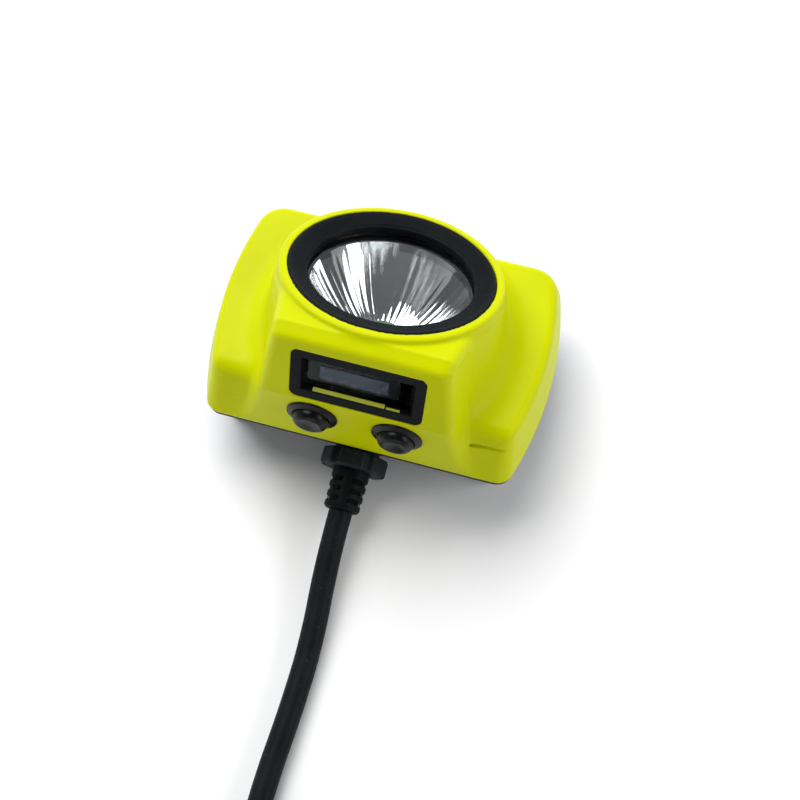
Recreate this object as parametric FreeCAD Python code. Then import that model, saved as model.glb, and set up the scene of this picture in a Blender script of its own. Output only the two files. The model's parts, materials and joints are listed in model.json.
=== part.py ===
import FreeCAD, Part
import math
import os

V = FreeCAD.Vector

# Miner's cap lamp: a wedge-shaped headpiece lying on its back, and its battery cord.
# +X across the lamp, -Y towards the cord, +Z out of the helmet. All sizes in mm.
# The origin is on the rest plane, under the middle of the headpiece's box.

# ---- Front housing ----
SEAM_Z = 19.0           # lower edge of the front housing, above the rest plane
WING_TOP_Z = 44.0       # height at which the untrimmed wing loft ends
NEAR_Y = -29.0          # straight edge on the cord side
FAR_Y = 34.0            # straight edge on the far side
HALF_W = 47.4           # half the width at the widest station
SIDE_Y = 3.0            # widest station
SIDE_R = 96.0           # radius of the arc sides in plan
NEAR_CORNER_R = 5.0
FAR_CORNER_R = 8.0
NEAR_LEAN = 23.4        # how far the wing walls lean in, degrees
SIDE_LEAN = 12.5
FAR_LEAN = 14.0
WING_SHOULDER = (-21.6, 36.2)    # (y, z) of the wing's top surface at the cord side
WING_HEEL = (31.6, 28.2)         # (y, z) of the wing's top surface at the far side
WING_EDGE_R = 2.6
WALL = 2.0

# ---- Lens axis: it leans towards +Y; depth s is measured down it from the rim's face ----
LENS_Y = 11.1
LENS_Z = 49.6
LENS_TILT = 31.0
RIM_R = 29.7
BARREL_LOW_R = 33.4
BARREL_LEN = 34.0
BARREL_INSET = 1.2      # how far the barrel stays behind the front facets
LEDGE_DEPTH = 8.6       # seat of the bezel and the reflector
LEDGE_T = 2.0
LEDGE_R = 22.6
TUBE_R = 27.3           # outside of the lens tube inside the housing
BEZEL_R = 27.5
BEZEL_BODY_R = 25.5
BEZEL_FLANGE_T = 3.0
GAP = 0.05              # clearance between fixed pieces that slip into each other
LENS_R = 23.6
LENS_DEPTH = 3.6        # outer face of the lens
LENS_T = 3.0
OPENING_R = 22.0        # clear opening of the bezel
REFLECTOR_FOCUS = 5.95
REFLECTOR_VERTEX = 26.27
REFLECTOR_RIM_R = 21.2
REFLECTOR_HOLE_R = 5.5
REFLECTOR_T = 0.9
REFLECTOR_TOP = 7.4     # depth of the reflector's flange face, under the gasket

# ---- Light engine behind the reflector, at depths down the lens axis ----
PEDESTAL_R = 4.7
PEDESTAL_DEPTH = 22.6
SINK_R = 12.5
SINK_DEPTH = 25.6
SINK_T = 2.0
FIN_T = 1.4
FIN_PITCH = 4.5
FIN_LEN = 4.4
LED_BOARD_T = 0.9
LED_BASE = 3.5
LED_BASE_T = 0.7
LED_DOME_R = 1.45

# ---- Central box: lower facet for the buttons, upper facet for the display ----
CREASE = (-27.0, 42.2)
BOX_EDGE = (-19.4, 62.6)
BOX_RIDGE = (-15.2, 63.5)
BOX_BACK = (6.0, 50.8)
BOX_SIDE = [(22.8, -19.4, 62.6), (27.4, -22.0, 37.5), (24.8, -4.0, 60.0)]
BOX_EDGE_R = 3.0
BOX_FOOT_R = 3.0        # fillet between the box and the wings

# ---- Buttons ----
BUTTON_X = 11.5
BUTTON_Z = 34.0
BUTTON_R = 5.0
BUTTON_SEAL_R = 6.9
BUTTON_SLIP = 0.10      # radial running clearance of the moving cap
BUTTON_HOLE_R = 6.1
BUTTON_SIDE_H = 1.4     # straight side of the cap above the facet
BUTTON_DOME_H = 2.2
CAP_LOW = -2.6          # underside of the cap's body
CAP_FLANGE_R = 5.5
CAP_FLANGE_LOW = -3.4
STEM_R = 1.6
STEM_LOW = -4.4
PLUNGER_LOW = -6.8
SWITCH_W = 6.2
SWITCH_TOP = -5.8
SWITCH_LOW = -8.8
CONTROL_BOARD = (35.0, 1.4, -6.2, 5.6)      # width, thickness and reach down and up the facet

# ---- Groove on the right wing's near wall ----
GROOVE_X = (27.5, 40.4)
GROOVE_Z = 31.2
GROOVE_W = 0.8
GROOVE_DEPTH = 0.5

# ---- Display ----
DISPLAY_Z = 51.2
DISPLAY_W = 35.0
DISPLAY_H = 17.6
DISPLAY_CORNER = 2.2
DISPLAY_T = 2.6
PANE_DEPTH = 1.5
PANE_T = 1.0
WELL_MOUTH = (15.0, 6.3)        # half sizes of the sunken well at the frame's face
WELL_FLOOR = (13.9, 5.3)        # and at the pane
PANE_W = 28.9
PANE_H = 11.7
PANE_CORNER = 0.8
OLED_SHIFT = (-1.4, 1.0)
OLED_W = 24.0
OLED_H = 9.2
OLED_T = 1.3
RIBBON_HALF_W = 4.0
RIBBON_HALF_T = 0.15

# ---- Rear housing ----
REAR_NEAR_Y = -23.5
REAR_FAR_Y = 30.5
REAR_HALF_W = 43.6
FLANGE_Z = 17.2
FLANGE_LIP = 0.3        # the flange stands this much inside the front housing's edge
CHANNEL_HALF_W = 17.0
CHANNEL_Z = 7.5         # ceiling of the bracket channel
CHANNEL_Y = -12.0
FLOOR_T = 2.0
SCREW_XY = [(-34.0, -14.0), (34.0, -14.0), (-32.0, 24.0), (32.0, 24.0)]
SCREW_R = 1.2
SCREW_HEAD_R = 2.8
SCREW_HEAD_Z = (4.9, 7.0)
SCREW_TOP_Z = 26.5
SOCKET_R = 1.1
PILOT_R = 1.25          # hole that a screw cuts its thread in
POST_R = 4.0
POST_TOP_Z = 36.0
GASKET_INSET = 2.0      # from the seam's edge to the gasket's track
GASKET_W = 1.3
GASKET_H = 0.9
BOARD_Z = (11.0, 12.6)
BOARD_X = 27.0
BOARD_Y = (-8.0, 24.0)

# ---- Helmet hook ----
HOOK_HALF_W = 13.0
HOOK_T = 1.5
HOOK_TONGUE_Z = 1.0
HOOK_SCREW_X = 7.5
HOOK_SCREW_Y = -6.0
HOOK_HEAD_R = 2.7
HOOK_HEAD_H = 1.6

# ---- Origin ----
CENTRE_Y = 1.189        # middle of the headpiece's box in the drawing; the origin is put under it

# ---- Cable gland, cord and battery connector ----
CORD_D = 6.6
CORD_R = CORD_D / 2
GLAND_DIP = 8.0         # the gland points this far below the horizontal, degrees
GLAND_FACE = (-32.77, 9.73)      # (y, z) of the nut's outer face on the gland axis
NUT_R = 9.2
NUT_LEN = 4.6           # the top lug stays clear of the front housing's overhang
GLAND_SEAT = -8.8      # outside of the rear housing's wall, along the gland axis
GLAND_FLANGE_R = 6.9
GLAND_BORE_R = 3.5
THREAD_R = 6.2
LOCKNUT_R = 7.4
LOCKNUT_DEPTH = -13.7
LOCKNUT_T = 2.2
THREAD_END = -15.1      # inner end of the gland's threaded tube
CABLE_END = -17.6       # inner end of the cord
NUT_ROOT_R = 8.15       # between the nut's lugs
LUGS = 6
LUG_W = 7.0
RELIEF_LEN = 11.5
RELIEF_BASE_R = 5.2
RELIEF_TIP_R = 4.95
RELIEF_SLOTS = 3
SLOT_W = 1.25
SLOT_PITCH = 2.75
COIL_CENTRE = (43.2, -160.0)
COIL_IN_R = 26.3        # three turns below, two nested on top of them
COIL_OUT_R = 46.3
COIL_LOW_H = 7.2
COIL_TOP_H = 13.0
COIL_TOP_IN_R = 29.6
COIL_TOP_OUT_R = 42.9
TIE_ANGLE = -35.0
TIE_HALF_W = 4.0
TIE_T = 0.6
TAIL_ANGLE = 142.0      # where the cord leaves the coil's top turn, about the coil's centre
TAIL_TURN_R = 39.6
TAIL_LEVELS = [(0.0, 9.7), (12.0, 11.3), (24.0, 11.3), (35.0, 8.8), (44.0, 8.8)]
BOOT_LEN = 18.0
BOOT_GROOVES = 4
SHELL_R = 7.0           # connector body under the coupling ring
COUPLING_R = 8.6
COUPLING = (27.2, 42.0)
CONTACT_R = 0.9
CONTACT_CIRCLE_R = 2.9


def tan(deg):
    return math.tan(math.radians(deg))


def sin(deg):
    return math.sin(math.radians(deg))


def cos(deg):
    return math.cos(math.radians(deg))


# ---------------------------------------------------------------- local frames
LENS = FreeCAD.Placement(V(0, LENS_Y, LENS_Z), FreeCAD.Rotation(V(1, 0, 0), -LENS_TILT))


def facet_frame(x, low, high, z):
    """Frame on a front facet: +Z out of the facet, +Y up along it."""
    lean = math.degrees(math.atan2(high[0] - low[0], high[1] - low[1]))
    y = low[0] + (z - low[1]) * tan(lean)
    return FreeCAD.Placement(V(x, y, z), FreeCAD.Rotation(V(1, 0, 0), 90.0 - lean))


def button_frame(side):
    return facet_frame(side * BUTTON_X, (NEAR_Y, SEAM_Z), CREASE, BUTTON_Z)


DISPLAY = facet_frame(0, CREASE, BOX_EDGE, DISPLAY_Z)
GLAND = FreeCAD.Placement(V(0, GLAND_FACE[0], GLAND_FACE[1]), FreeCAD.Rotation(V(1, 0, 0), 90.0 + GLAND_DIP))


def placed(shape, frame):
    shape.Placement = frame.multiply(shape.Placement)
    return shape


# ---------------------------------------------------------------- plain shapes
def cyl(r, low, high, x=0.0, y=0.0):
    return Part.makeCylinder(r, high - low, V(x, y, low))


def ring(r_out, r_in, low, high):
    return cyl(r_out, low, high).cut(cyl(r_in, low - 1, high + 1))


def block(x0, y0, z0, x1, y1, z1):
    return Part.makeBox(x1 - x0, y1 - y0, z1 - z0, V(x0, y0, z0))


def polygon_face(points):
    return Part.Face(Part.makePolygon(list(points) + [points[0]]))


def turned(profile):
    """Solid of revolution about Z from (r, z) points."""
    face = polygon_face([V(r, 0, z) for r, z in profile])
    return face.revolve(V(0, 0, 0), V(0, 0, 1), 360)


def extruded_yz(points, half_x):
    """Prism along X from (y, z) points."""
    face = polygon_face([V(-half_x, y, z) for y, z in points])
    return face.extrude(V(2 * half_x, 0, 0))


def rounded_plate(w, h, corner, low, high, x=0.0, y=0.0):
    """Plate in the XY plane with round corners."""
    plate = block(x - w / 2, y - h / 2, low, x + w / 2, y + h / 2, high)
    upright = [e for e in plate.Edges if abs(e.Vertexes[0].Z - e.Vertexes[1].Z) > (high - low) / 2]
    return plate.makeFillet(corner, upright)


def mirrored(shape):
    return shape.mirror(V(0, 0, 0), V(1, 0, 0))


def joined(shapes):
    return shapes[0].fuse(shapes[1:]).removeSplitter() if len(shapes) > 1 else shapes[0]


def save(name, shape):
    """Moves the shape from the drawing's zero to the origin and writes it."""
    solids = shape.Solids
    volume = sum(s.Volume for s in solids)
    valid = all(s.isValid() for s in solids)
    print("%-20s solids %d valid %s volume %9.1f" % (name, len(solids), valid, volume))
    kept = Part.makeCompound(solids) if len(solids) > 1 else solids[0]
    kept.translate(V(0, -CENTRE_Y, 0))
    kept.exportStep("parts/%s.step" % name)


# ---------------------------------------------------------------- plan outlines
def corner_points(edge_y, half_w, r, inward):
    """Round corner between a straight edge and the arc side: start, middle and end."""
    side_cx = half_w - SIDE_R
    cy = edge_y + inward * r
    cx = side_cx + math.sqrt((SIDE_R - r) ** 2 - (cy - SIDE_Y) ** 2)
    k = SIDE_R / (SIDE_R - r)
    end = (side_cx + (cx - side_cx) * k, SIDE_Y + (cy - SIDE_Y) * k)
    mx = end[0] - cx
    my = end[1] - cy - inward * r
    m = math.hypot(mx, my)
    return (cx, edge_y), (cx + mx / m * r, cy + my / m * r), end


def plan_wire(near_y, far_y, half_w, near_r, far_r, z):
    """Closed plan outline: straight near and far edges, arc sides, round corners."""
    n0, n1, n2 = corner_points(near_y, half_w, near_r, 1)
    f0, f1, f2 = corner_points(far_y, half_w, far_r, -1)

    def p(q, side=1):
        return V(side * q[0], q[1], z)

    def arc(a, b, c):
        return Part.Arc(a, b, c).toShape()

    side = (half_w, SIDE_Y)
    edges = [Part.LineSegment(p(n0, -1), p(n0)).toShape(), arc(p(n0), p(n1), p(n2)),
             arc(p(n2), p(side), p(f2)), arc(p(f2), p(f1), p(f0)),
             Part.LineSegment(p(f0), p(f0, -1)).toShape(), arc(p(f0, -1), p(f1, -1), p(f2, -1)),
             arc(p(f2, -1), p(side, -1), p(n2, -1)), arc(p(n2, -1), p(n1, -1), p(n0, -1))]
    return Part.Wire(edges)


def seam_plate(inset, low, high):
    """Flat plate with the front housing's seam outline, moved in by inset."""
    wire = plan_wire(NEAR_Y + inset, FAR_Y - inset, HALF_W - inset, max(NEAR_CORNER_R - inset, 1.0),
                     max(FAR_CORNER_R - inset, 1.0), low)
    return Part.Face(wire).extrude(V(0, 0, high - low))


def rear_tub(inset, low, high):
    wire = plan_wire(REAR_NEAR_Y + inset, REAR_FAR_Y - inset, REAR_HALF_W - inset, 4.0 - inset / 2,
                     6.0 - inset / 2, low)
    return Part.Face(wire).extrude(V(0, 0, high - low))


# ---------------------------------------------------------------- front housing
def wing_top(y):
    slope = (WING_HEEL[1] - WING_SHOULDER[1]) / (WING_HEEL[0] - WING_SHOULDER[0])
    return WING_SHOULDER[1] + slope * (y - WING_SHOULDER[0])


def wings(inset):
    """Drafted wing body trimmed by its sloping top surface."""
    def at(z):
        h = z - SEAM_Z
        return plan_wire(NEAR_Y + h * tan(NEAR_LEAN) + inset, FAR_Y - h * tan(FAR_LEAN) - inset,
                         HALF_W - h * tan(SIDE_LEAN) - inset, max(NEAR_CORNER_R - inset, 1.0),
                         max(FAR_CORNER_R - inset, 1.0), z)

    body = Part.makeLoft([at(SEAM_Z - inset), at(WING_TOP_Z)], True, True)
    trim = extruded_yz([(-70, wing_top(-70) - inset), (70, wing_top(70) - inset), (70, 90), (-70, 90)], 90)
    body = body.cut(trim)
    if inset:
        return body
    top_edges = [e for e in body.Edges
                 if all(abs(v.Z - wing_top(v.Y)) < 0.01 for v in e.Vertexes)]
    return body.makeFillet(WING_EDGE_R, top_edges)


def front_profile(inset, back_y, top):
    """(y, z) outline of the box, moved in by inset."""
    points = [(NEAR_Y, SEAM_Z - 2 * inset), CREASE, BOX_EDGE] + top + [(back_y, SEAM_Z - 2 * inset)]
    if not inset:
        return points
    wire = Part.makePolygon([V(0, y, z) for y, z in points + [points[0]]])
    inner = wire.makeOffset2D(-inset, 2)
    return [(v.Y, v.Z) for v in inner.OrderedVertexes]


def side_cutter(inset):
    """Everything outside the box's right side plane."""
    a, b, c = [V(*p) for p in BOX_SIDE]
    normal = (b - a).cross(c - a)
    normal.normalize()
    if normal.x < 0:
        normal = normal.negative()
    slab = Part.makeBox(240, 240, 80, V(-120, -120, 0))
    slab.Placement = FreeCAD.Placement(a - normal * inset, FreeCAD.Rotation(V(0, 0, 1), normal))
    return slab


def box(inset):
    """Central box with its two front facets and leaning sides."""
    body = extruded_yz(front_profile(inset, BOX_BACK[0], [BOX_RIDGE, BOX_BACK]), 60)
    cutter = side_cutter(inset)
    body = body.cut(cutter).cut(mirrored(cutter))
    if inset:
        return body
    edges = []
    for e in body.Edges:
        ys = [v.Y for v in e.Vertexes]
        zs = [v.Z for v in e.Vertexes]
        on_front = max(ys) < BOX_EDGE[0] + 0.1 and max(zs) > CREASE[1]
        if on_front and abs(zs[0] - CREASE[1]) + abs(zs[1] - CREASE[1]) > 0.1:
            edges.append(e)
    return body.makeFillet(BOX_EDGE_R, edges)


def barrel():
    """Lens barrel: a cone about the lens axis, kept behind the box's front facets."""
    cone = Part.makeCone(BARREL_LOW_R, RIM_R, BARREL_LEN, V(0, 0, -BARREL_LEN))
    rim = [e for e in cone.Edges if len(e.Vertexes) == 1 and abs(e.Vertexes[0].Z) < 0.01]
    cone = placed(cone.makeFillet(0.8, rim), LENS)
    inset = BARREL_INSET
    behind = extruded_yz([(NEAR_Y + inset, SEAM_Z), (CREASE[0] + inset, CREASE[1]),
                          (BOX_EDGE[0] + inset, BOX_EDGE[1]), (BOX_EDGE[0] + inset, 90), (70, 90),
                          (70, SEAM_Z)], 60)
    return cone.common(behind)


def housing_outside():
    """Wings, box and barrel in one, with a soft fillet where the box meets the wings."""
    body = joined([wings(0), box(0), barrel()])
    meeting = []
    for e in body.Edges:
        m = e.valueAt((e.FirstParameter + e.LastParameter) / 2)
        if 28.5 < abs(m.x) < 29.5 and m.y < -24 and 26 < m.z < 29:
            meeting.append(e)
    return body.makeFillet(BOX_FOOT_R, meeting)


def lens_tool(profile):
    """Turned solid about the lens axis from (r, depth) points."""
    return placed(turned([(r, -s) for r, s in profile]), LENS)


def front_housing():
    cavity = wings(WALL)
    tube = lens_tool([(0, -20), (TUBE_R, -20), (TUBE_R, LEDGE_DEPTH + LEDGE_T), (0, LEDGE_DEPTH + LEDGE_T)])
    low = LEDGE_DEPTH + LEDGE_T
    room = [(0, low), (TUBE_R, low), (BARREL_LOW_R - 3.0, BARREL_LEN), (0, BARREL_LEN)]
    behind = extruded_yz([(NEAR_Y + 4, SEAM_Z - WALL), (CREASE[0] + 4, CREASE[1]),
                          (BOX_EDGE[0] + 4, BOX_EDGE[1]), (70, 90), (70, SEAM_Z - WALL)], 60)
    barrel_room = lens_tool(room).common(behind)
    cavity = joined([cavity.cut(tube), box(WALL).cut(tube), barrel_room])
    shell = housing_outside().cut(cavity)
    shell = shell.cut(lens_tool([(0, -5), (BEZEL_R + GAP, -5), (BEZEL_R + GAP, BEZEL_FLANGE_T),
                                 (BEZEL_BODY_R + GAP, BEZEL_FLANGE_T), (BEZEL_BODY_R + GAP, LEDGE_DEPTH),
                                 (LEDGE_R, LEDGE_DEPTH), (LEDGE_R, low + 0.5), (0, low + 0.5)]))
    window = rounded_plate(DISPLAY_W + 2 * GAP, DISPLAY_H + 2 * GAP, DISPLAY_CORNER, -6, 6)
    shell = shell.cut(placed(window, DISPLAY))
    for side in (-1, 1):
        shell = shell.cut(placed(cyl(BUTTON_HOLE_R, -6, 6), button_frame(side)))
    groove_y = NEAR_Y + (GROOVE_Z - SEAM_Z) * tan(NEAR_LEAN)
    shell = shell.cut(block(GROOVE_X[0], groove_y - 2, GROOVE_Z - GROOVE_W / 2, GROOVE_X[1],
                            groove_y + GROOVE_DEPTH, GROOVE_Z + GROOVE_W / 2))
    inside = wings(WALL - 0.5)
    pilot_top = SCREW_TOP_Z + 3.5
    bosses = [cyl(POST_R, SEAM_Z, POST_TOP_Z, x, y).cut(cyl(PILOT_R, SEAM_Z - 1, pilot_top, x, y))
              for x, y in SCREW_XY]
    bosses = [b.common(inside) for b in bosses]
    shell = joined([shell] + bosses)
    below = block(-80, -80, -10, 80, 80, SEAM_Z)
    return shell.cut(below)


# ---------------------------------------------------------------- lens group
def bezel_ring():
    seat_r = LENS_R + 0.15
    body = lens_tool([(BEZEL_R, 0.5), (BEZEL_R, BEZEL_FLANGE_T), (BEZEL_BODY_R, BEZEL_FLANGE_T),
                      (BEZEL_BODY_R, LEDGE_DEPTH), (seat_r, LEDGE_DEPTH), (seat_r, LENS_DEPTH),
                      (OPENING_R, LENS_DEPTH), (OPENING_R, 1.6), (OPENING_R + 0.6, 0.9),
                      (BEZEL_R - 0.6, -0.1)])
    groove = lens_tool([(24.6, 5.2), (BEZEL_BODY_R + 1, 5.2), (BEZEL_BODY_R + 1, 6.8), (24.6, 6.8)])
    return body.cut(groove)


def bezel_o_ring():
    return lens_tool([(24.65, 5.3), (25.5, 5.3), (25.5, 6.7), (24.65, 6.7)])


def lens():
    low = LENS_DEPTH + LENS_T
    return lens_tool([(0, LENS_DEPTH), (LENS_R - 0.6, LENS_DEPTH), (LENS_R, LENS_DEPTH + 0.5), (LENS_R, low),
                      (0, low)])


def lens_gasket():
    low = LENS_DEPTH + LENS_T
    inner_r = LENS_R - 1.8
    return lens_tool([(inner_r, low), (LENS_R, low), (LENS_R, REFLECTOR_TOP), (inner_r, REFLECTOR_TOP)])


def reflector_depth(r):
    return REFLECTOR_VERTEX - r * r / (4 * REFLECTOR_FOCUS)


def reflector():
    steps = 8
    radii = [REFLECTOR_HOLE_R + (REFLECTOR_RIM_R - REFLECTOR_HOLE_R) * i / steps for i in range(steps + 1)]
    inner = [V(r, 0, -reflector_depth(r)) for r in radii]
    outer = [V(r + REFLECTOR_T, 0, -reflector_depth(r) - 0.3) for r in radii]
    curve_in = Part.BSplineCurve()
    curve_in.interpolate(inner)
    curve_out = Part.BSplineCurve()
    curve_out.interpolate(outer)
    rim = [inner[-1], V(inner[-1].x, 0, -REFLECTOR_TOP), V(LENS_R, 0, -REFLECTOR_TOP),
           V(LENS_R, 0, -LEDGE_DEPTH), V(outer[-1].x, 0, -LEDGE_DEPTH), outer[-1]]
    rim = [p for i, p in enumerate(rim) if i == 0 or (p - rim[i - 1]).Length > 1e-4]
    edges = [curve_in.toShape()]
    edges += [Part.LineSegment(a, b).toShape() for a, b in zip(rim, rim[1:])]
    edges += [curve_out.toShape(), Part.LineSegment(outer[0], inner[0]).toShape()]
    face = Part.Face(Part.Wire(Part.__sortEdges__(edges)))
    return placed(face.revolve(V(0, 0, 0), V(0, 0, 1), 360), LENS)


def reflector_spacer():
    top = SINK_DEPTH - 0.7
    washer = lens_tool([(6.7, top), (9.0, top), (9.0, SINK_DEPTH), (6.7, SINK_DEPTH)])
    return washer.cut(reflector())


def heat_sink():
    low = SINK_DEPTH + SINK_T
    body = lens_tool([(0, PEDESTAL_DEPTH), (PEDESTAL_R, PEDESTAL_DEPTH), (PEDESTAL_R, SINK_DEPTH),
                      (SINK_R, SINK_DEPTH), (SINK_R, low), (0, low)])
    for i in range(-2, 3):
        x = FIN_PITCH * i
        half = math.sqrt((SINK_R - 0.5) ** 2 - x * x)
        fin = block(x - FIN_T / 2, -half, -low - FIN_LEN, x + FIN_T / 2, half, -low)
        body = body.fuse(placed(fin, LENS))
    return body.removeSplitter()


def led_board():
    top = PEDESTAL_DEPTH - LED_BOARD_T
    return lens_tool([(0, top), (PEDESTAL_R, top), (PEDESTAL_R, PEDESTAL_DEPTH), (0, PEDESTAL_DEPTH)])


def led_emitter():
    half = LED_BASE / 2
    low = LED_BOARD_T - PEDESTAL_DEPTH
    base = block(-half, -half, low, half, half, low + LED_BASE_T)
    centre = low + LED_BASE_T - 0.1
    dome = Part.makeSphere(LED_DOME_R, V(0, 0, centre)).common(block(-3, -3, centre, 3, 3, centre + 3))
    return placed(base.fuse(dome).removeSplitter(), LENS)


# ---------------------------------------------------------------- display
def display_frame():
    body = rounded_plate(DISPLAY_W, DISPLAY_H, DISPLAY_CORNER, -DISPLAY_T, -0.15)
    mouth = Part.makeLoft([well_wire(*WELL_MOUTH, 0.2), well_wire(*WELL_FLOOR, -PANE_DEPTH)], True, True)
    pocket = rounded_plate(PANE_W + 2 * GAP, PANE_H + 2 * GAP, PANE_CORNER, -DISPLAY_T - 1, -PANE_DEPTH)
    return placed(body.cut(mouth).cut(pocket), DISPLAY)


def well_wire(hx, hy, z):
    corners = [V(-hx, -hy, z), V(hx, -hy, z), V(hx, hy, z), V(-hx, hy, z)]
    return Part.makePolygon(corners + [corners[0]])


def display_window():
    return placed(rounded_plate(PANE_W, PANE_H, PANE_CORNER, -PANE_DEPTH - PANE_T, -PANE_DEPTH), DISPLAY)


def oled_panel():
    x, y = OLED_SHIFT
    top = -PANE_DEPTH - PANE_T
    glass = block(x - OLED_W / 2, y - OLED_H / 2, top - OLED_T, x + OLED_W / 2, y + OLED_H / 2, top)
    return placed(glass, DISPLAY)


# ---------------------------------------------------------------- buttons
def button_cap(side):
    """Domed cap with its retaining flange and stem."""
    r = BUTTON_R
    rise = BUTTON_DOME_H
    sphere_r = (r * r + rise * rise) / (2 * rise)
    stem = turned([(0, STEM_LOW), (STEM_R, STEM_LOW), (STEM_R, CAP_FLANGE_LOW),
                   (CAP_FLANGE_R, CAP_FLANGE_LOW), (CAP_FLANGE_R, CAP_LOW), (r, CAP_LOW), (r, BUTTON_SIDE_H),
                   (0, BUTTON_SIDE_H)])
    top = BUTTON_SIDE_H + rise
    dome = Part.makeSphere(sphere_r, V(0, 0, top - sphere_r)).common(cyl(r, BUTTON_SIDE_H, top + 1))
    return placed(stem.fuse(dome).removeSplitter(), button_frame(side))


def button_seal(side):
    """Flanged bush that seals the hole and guides the cap."""
    bore = BUTTON_R + BUTTON_SLIP
    neck = BUTTON_HOLE_R - GAP
    low = CAP_LOW + BUTTON_SLIP
    return placed(turned([(bore, low), (neck, low), (neck, 0.02), (BUTTON_SEAL_R, 0.02), (BUTTON_SEAL_R, 0.8),
                          (BUTTON_SEAL_R - 0.5, 1.25), (bore, 1.25)]), button_frame(side))


def switch_plunger(side):
    return placed(cyl(STEM_R, PLUNGER_LOW, STEM_LOW), button_frame(side))


def tact_switch(side):
    half = SWITCH_W / 2
    body = block(-half, -half, SWITCH_LOW, half, half, SWITCH_TOP)
    well = cyl(STEM_R + GAP, SWITCH_LOW + 0.8, SWITCH_TOP + 0.8)
    return placed(body.cut(well), button_frame(side))


def control_board():
    width, thickness, down, up = CONTROL_BOARD
    return placed(block(-width / 2, down, SWITCH_LOW - thickness, width / 2, up, SWITCH_LOW), button_frame(0))


def oled_ribbon():
    """Flat lead from the display down to the control board."""
    top = DISPLAY.multVec(V(0, OLED_SHIFT[1] - OLED_H / 2 - GAP, -PANE_DEPTH - PANE_T - OLED_T / 2))
    low = button_frame(0).multVec(V(0, CONTROL_BOARD[3] + 0.1, SWITCH_LOW - CONTROL_BOARD[1] / 2))
    t = RIBBON_HALF_T
    points = [(top.y - t, top.z), (low.y - t, low.z), (low.y + t, low.z), (top.y + t, top.z)]
    return extruded_yz(points, RIBBON_HALF_W)


# ---------------------------------------------------------------- rear housing
def rear_housing():
    body = joined([rear_tub(0, 0, FLANGE_Z + 0.5), seam_plate(FLANGE_LIP, FLANGE_Z, SEAM_Z)])
    bottom = [e for e in body.Edges if all(abs(v.Z) < 0.01 for v in e.Vertexes)]
    body = body.makeFillet(1.2, bottom)
    room = rear_tub(FLOOR_T, FLOOR_T, SEAM_Z + 1)
    room = room.cut(block(-CHANNEL_HALF_W - FLOOR_T, CHANNEL_Y - FLOOR_T, 0, CHANNEL_HALF_W + FLOOR_T, 60,
                          CHANNEL_Z + FLOOR_T))
    for x, y in SCREW_XY:
        room = room.cut(cyl(POST_R, 0, SEAM_Z + 2, x, y))
    body = body.cut(room).cut(block(-CHANNEL_HALF_W, CHANNEL_Y, -1, CHANNEL_HALF_W, 60, CHANNEL_Z))
    body = body.cut(gasket_track())
    head_top = SCREW_HEAD_Z[1]
    for x, y in SCREW_XY:
        body = body.cut(cyl(SCREW_HEAD_R + 0.2, -1, head_top, x, y))
        body = body.cut(cyl(SCREW_R + 0.5, head_top - 1, SEAM_Z + 1, x, y))
    for x in (-HOOK_SCREW_X, HOOK_SCREW_X):
        body = body.cut(cyl(PILOT_R, CHANNEL_Z - 1, CHANNEL_Z + FLOOR_T + 1, x, HOOK_SCREW_Y))
    body = joined([body, gland_boss()])
    return body.cut(gland_passage())


def gasket_track(clear=0.0):
    """Closed band that follows the seam, let into the flange's top face."""
    outside = seam_plate(GASKET_INSET + clear, SEAM_Z - GASKET_H + clear, SEAM_Z)
    return outside.cut(seam_plate(GASKET_INSET + GASKET_W - clear, SEAM_Z - GASKET_H - 1, SEAM_Z + 1))


def housing_screws():
    solids = []
    for x, y in SCREW_XY:
        low, top = SCREW_HEAD_Z
        head = cyl(SCREW_HEAD_R, low, top, x, y).cut(cyl(SOCKET_R, low - 1, low + 1.2, x, y))
        solids.append(head.fuse(cyl(SCREW_R, top, SCREW_TOP_Z, x, y)).removeSplitter())
    return Part.makeCompound(solids)


def main_board():
    board = block(-BOARD_X, BOARD_Y[0], BOARD_Z[0], BOARD_X, BOARD_Y[1], BOARD_Z[1])
    for x, y in SCREW_XY:
        board = board.cut(cyl(POST_R + 0.4, 5, 30, x, y))
    return board


def board_supports():
    low = CHANNEL_Z + FLOOR_T
    return Part.makeCompound([cyl(2.2, low, BOARD_Z[0], x, y) for x in (-15.0, 15.0) for y in (-4.0, 20.0)])


def board_parts():
    """What stands on the main board: inductor, driver chip, cord socket and capacitor."""
    base = BOARD_Z[1]
    inductor = cyl(3.4, base, base + 3.0, 20.0, 16.0)
    driver = block(-22, 8, base, -17, 13, base + 1.4)
    socket = block(-6, -7, base, 6, -2.5, base + 2.8)
    capacitor = cyl(2.4, base, base + 2.8, -20.0, -1.0)
    return Part.makeCompound([inductor, driver, socket, capacitor])


# ---------------------------------------------------------------- helmet hook
def helmet_hook():
    """Strip screwed to the channel's ceiling, joggled down to a tongue that is open at +Y."""
    top = CHANNEL_Z
    low = HOOK_TONGUE_Z
    t = HOOK_T
    points = [(-10.5, top), (-10.5, top - t), (-3.0, top - t), (1.0, low), (26.5, low), (29.5, low + 1.3),
              (29.0, low + 1.3 + t), (26.0, low + t), (1.6, low + t), (-2.2, top)]
    strip = extruded_yz(points, HOOK_HALF_W)
    tip = [e for e in strip.Edges if all(v.Y > 28.9 for v in e.Vertexes) and e.Length < 2]
    strip = strip.makeFillet(1.4, tip)
    for x in (-HOOK_SCREW_X, HOOK_SCREW_X):
        strip = strip.cut(cyl(1.6, 0, 20, x, HOOK_SCREW_Y))
    return strip


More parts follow.
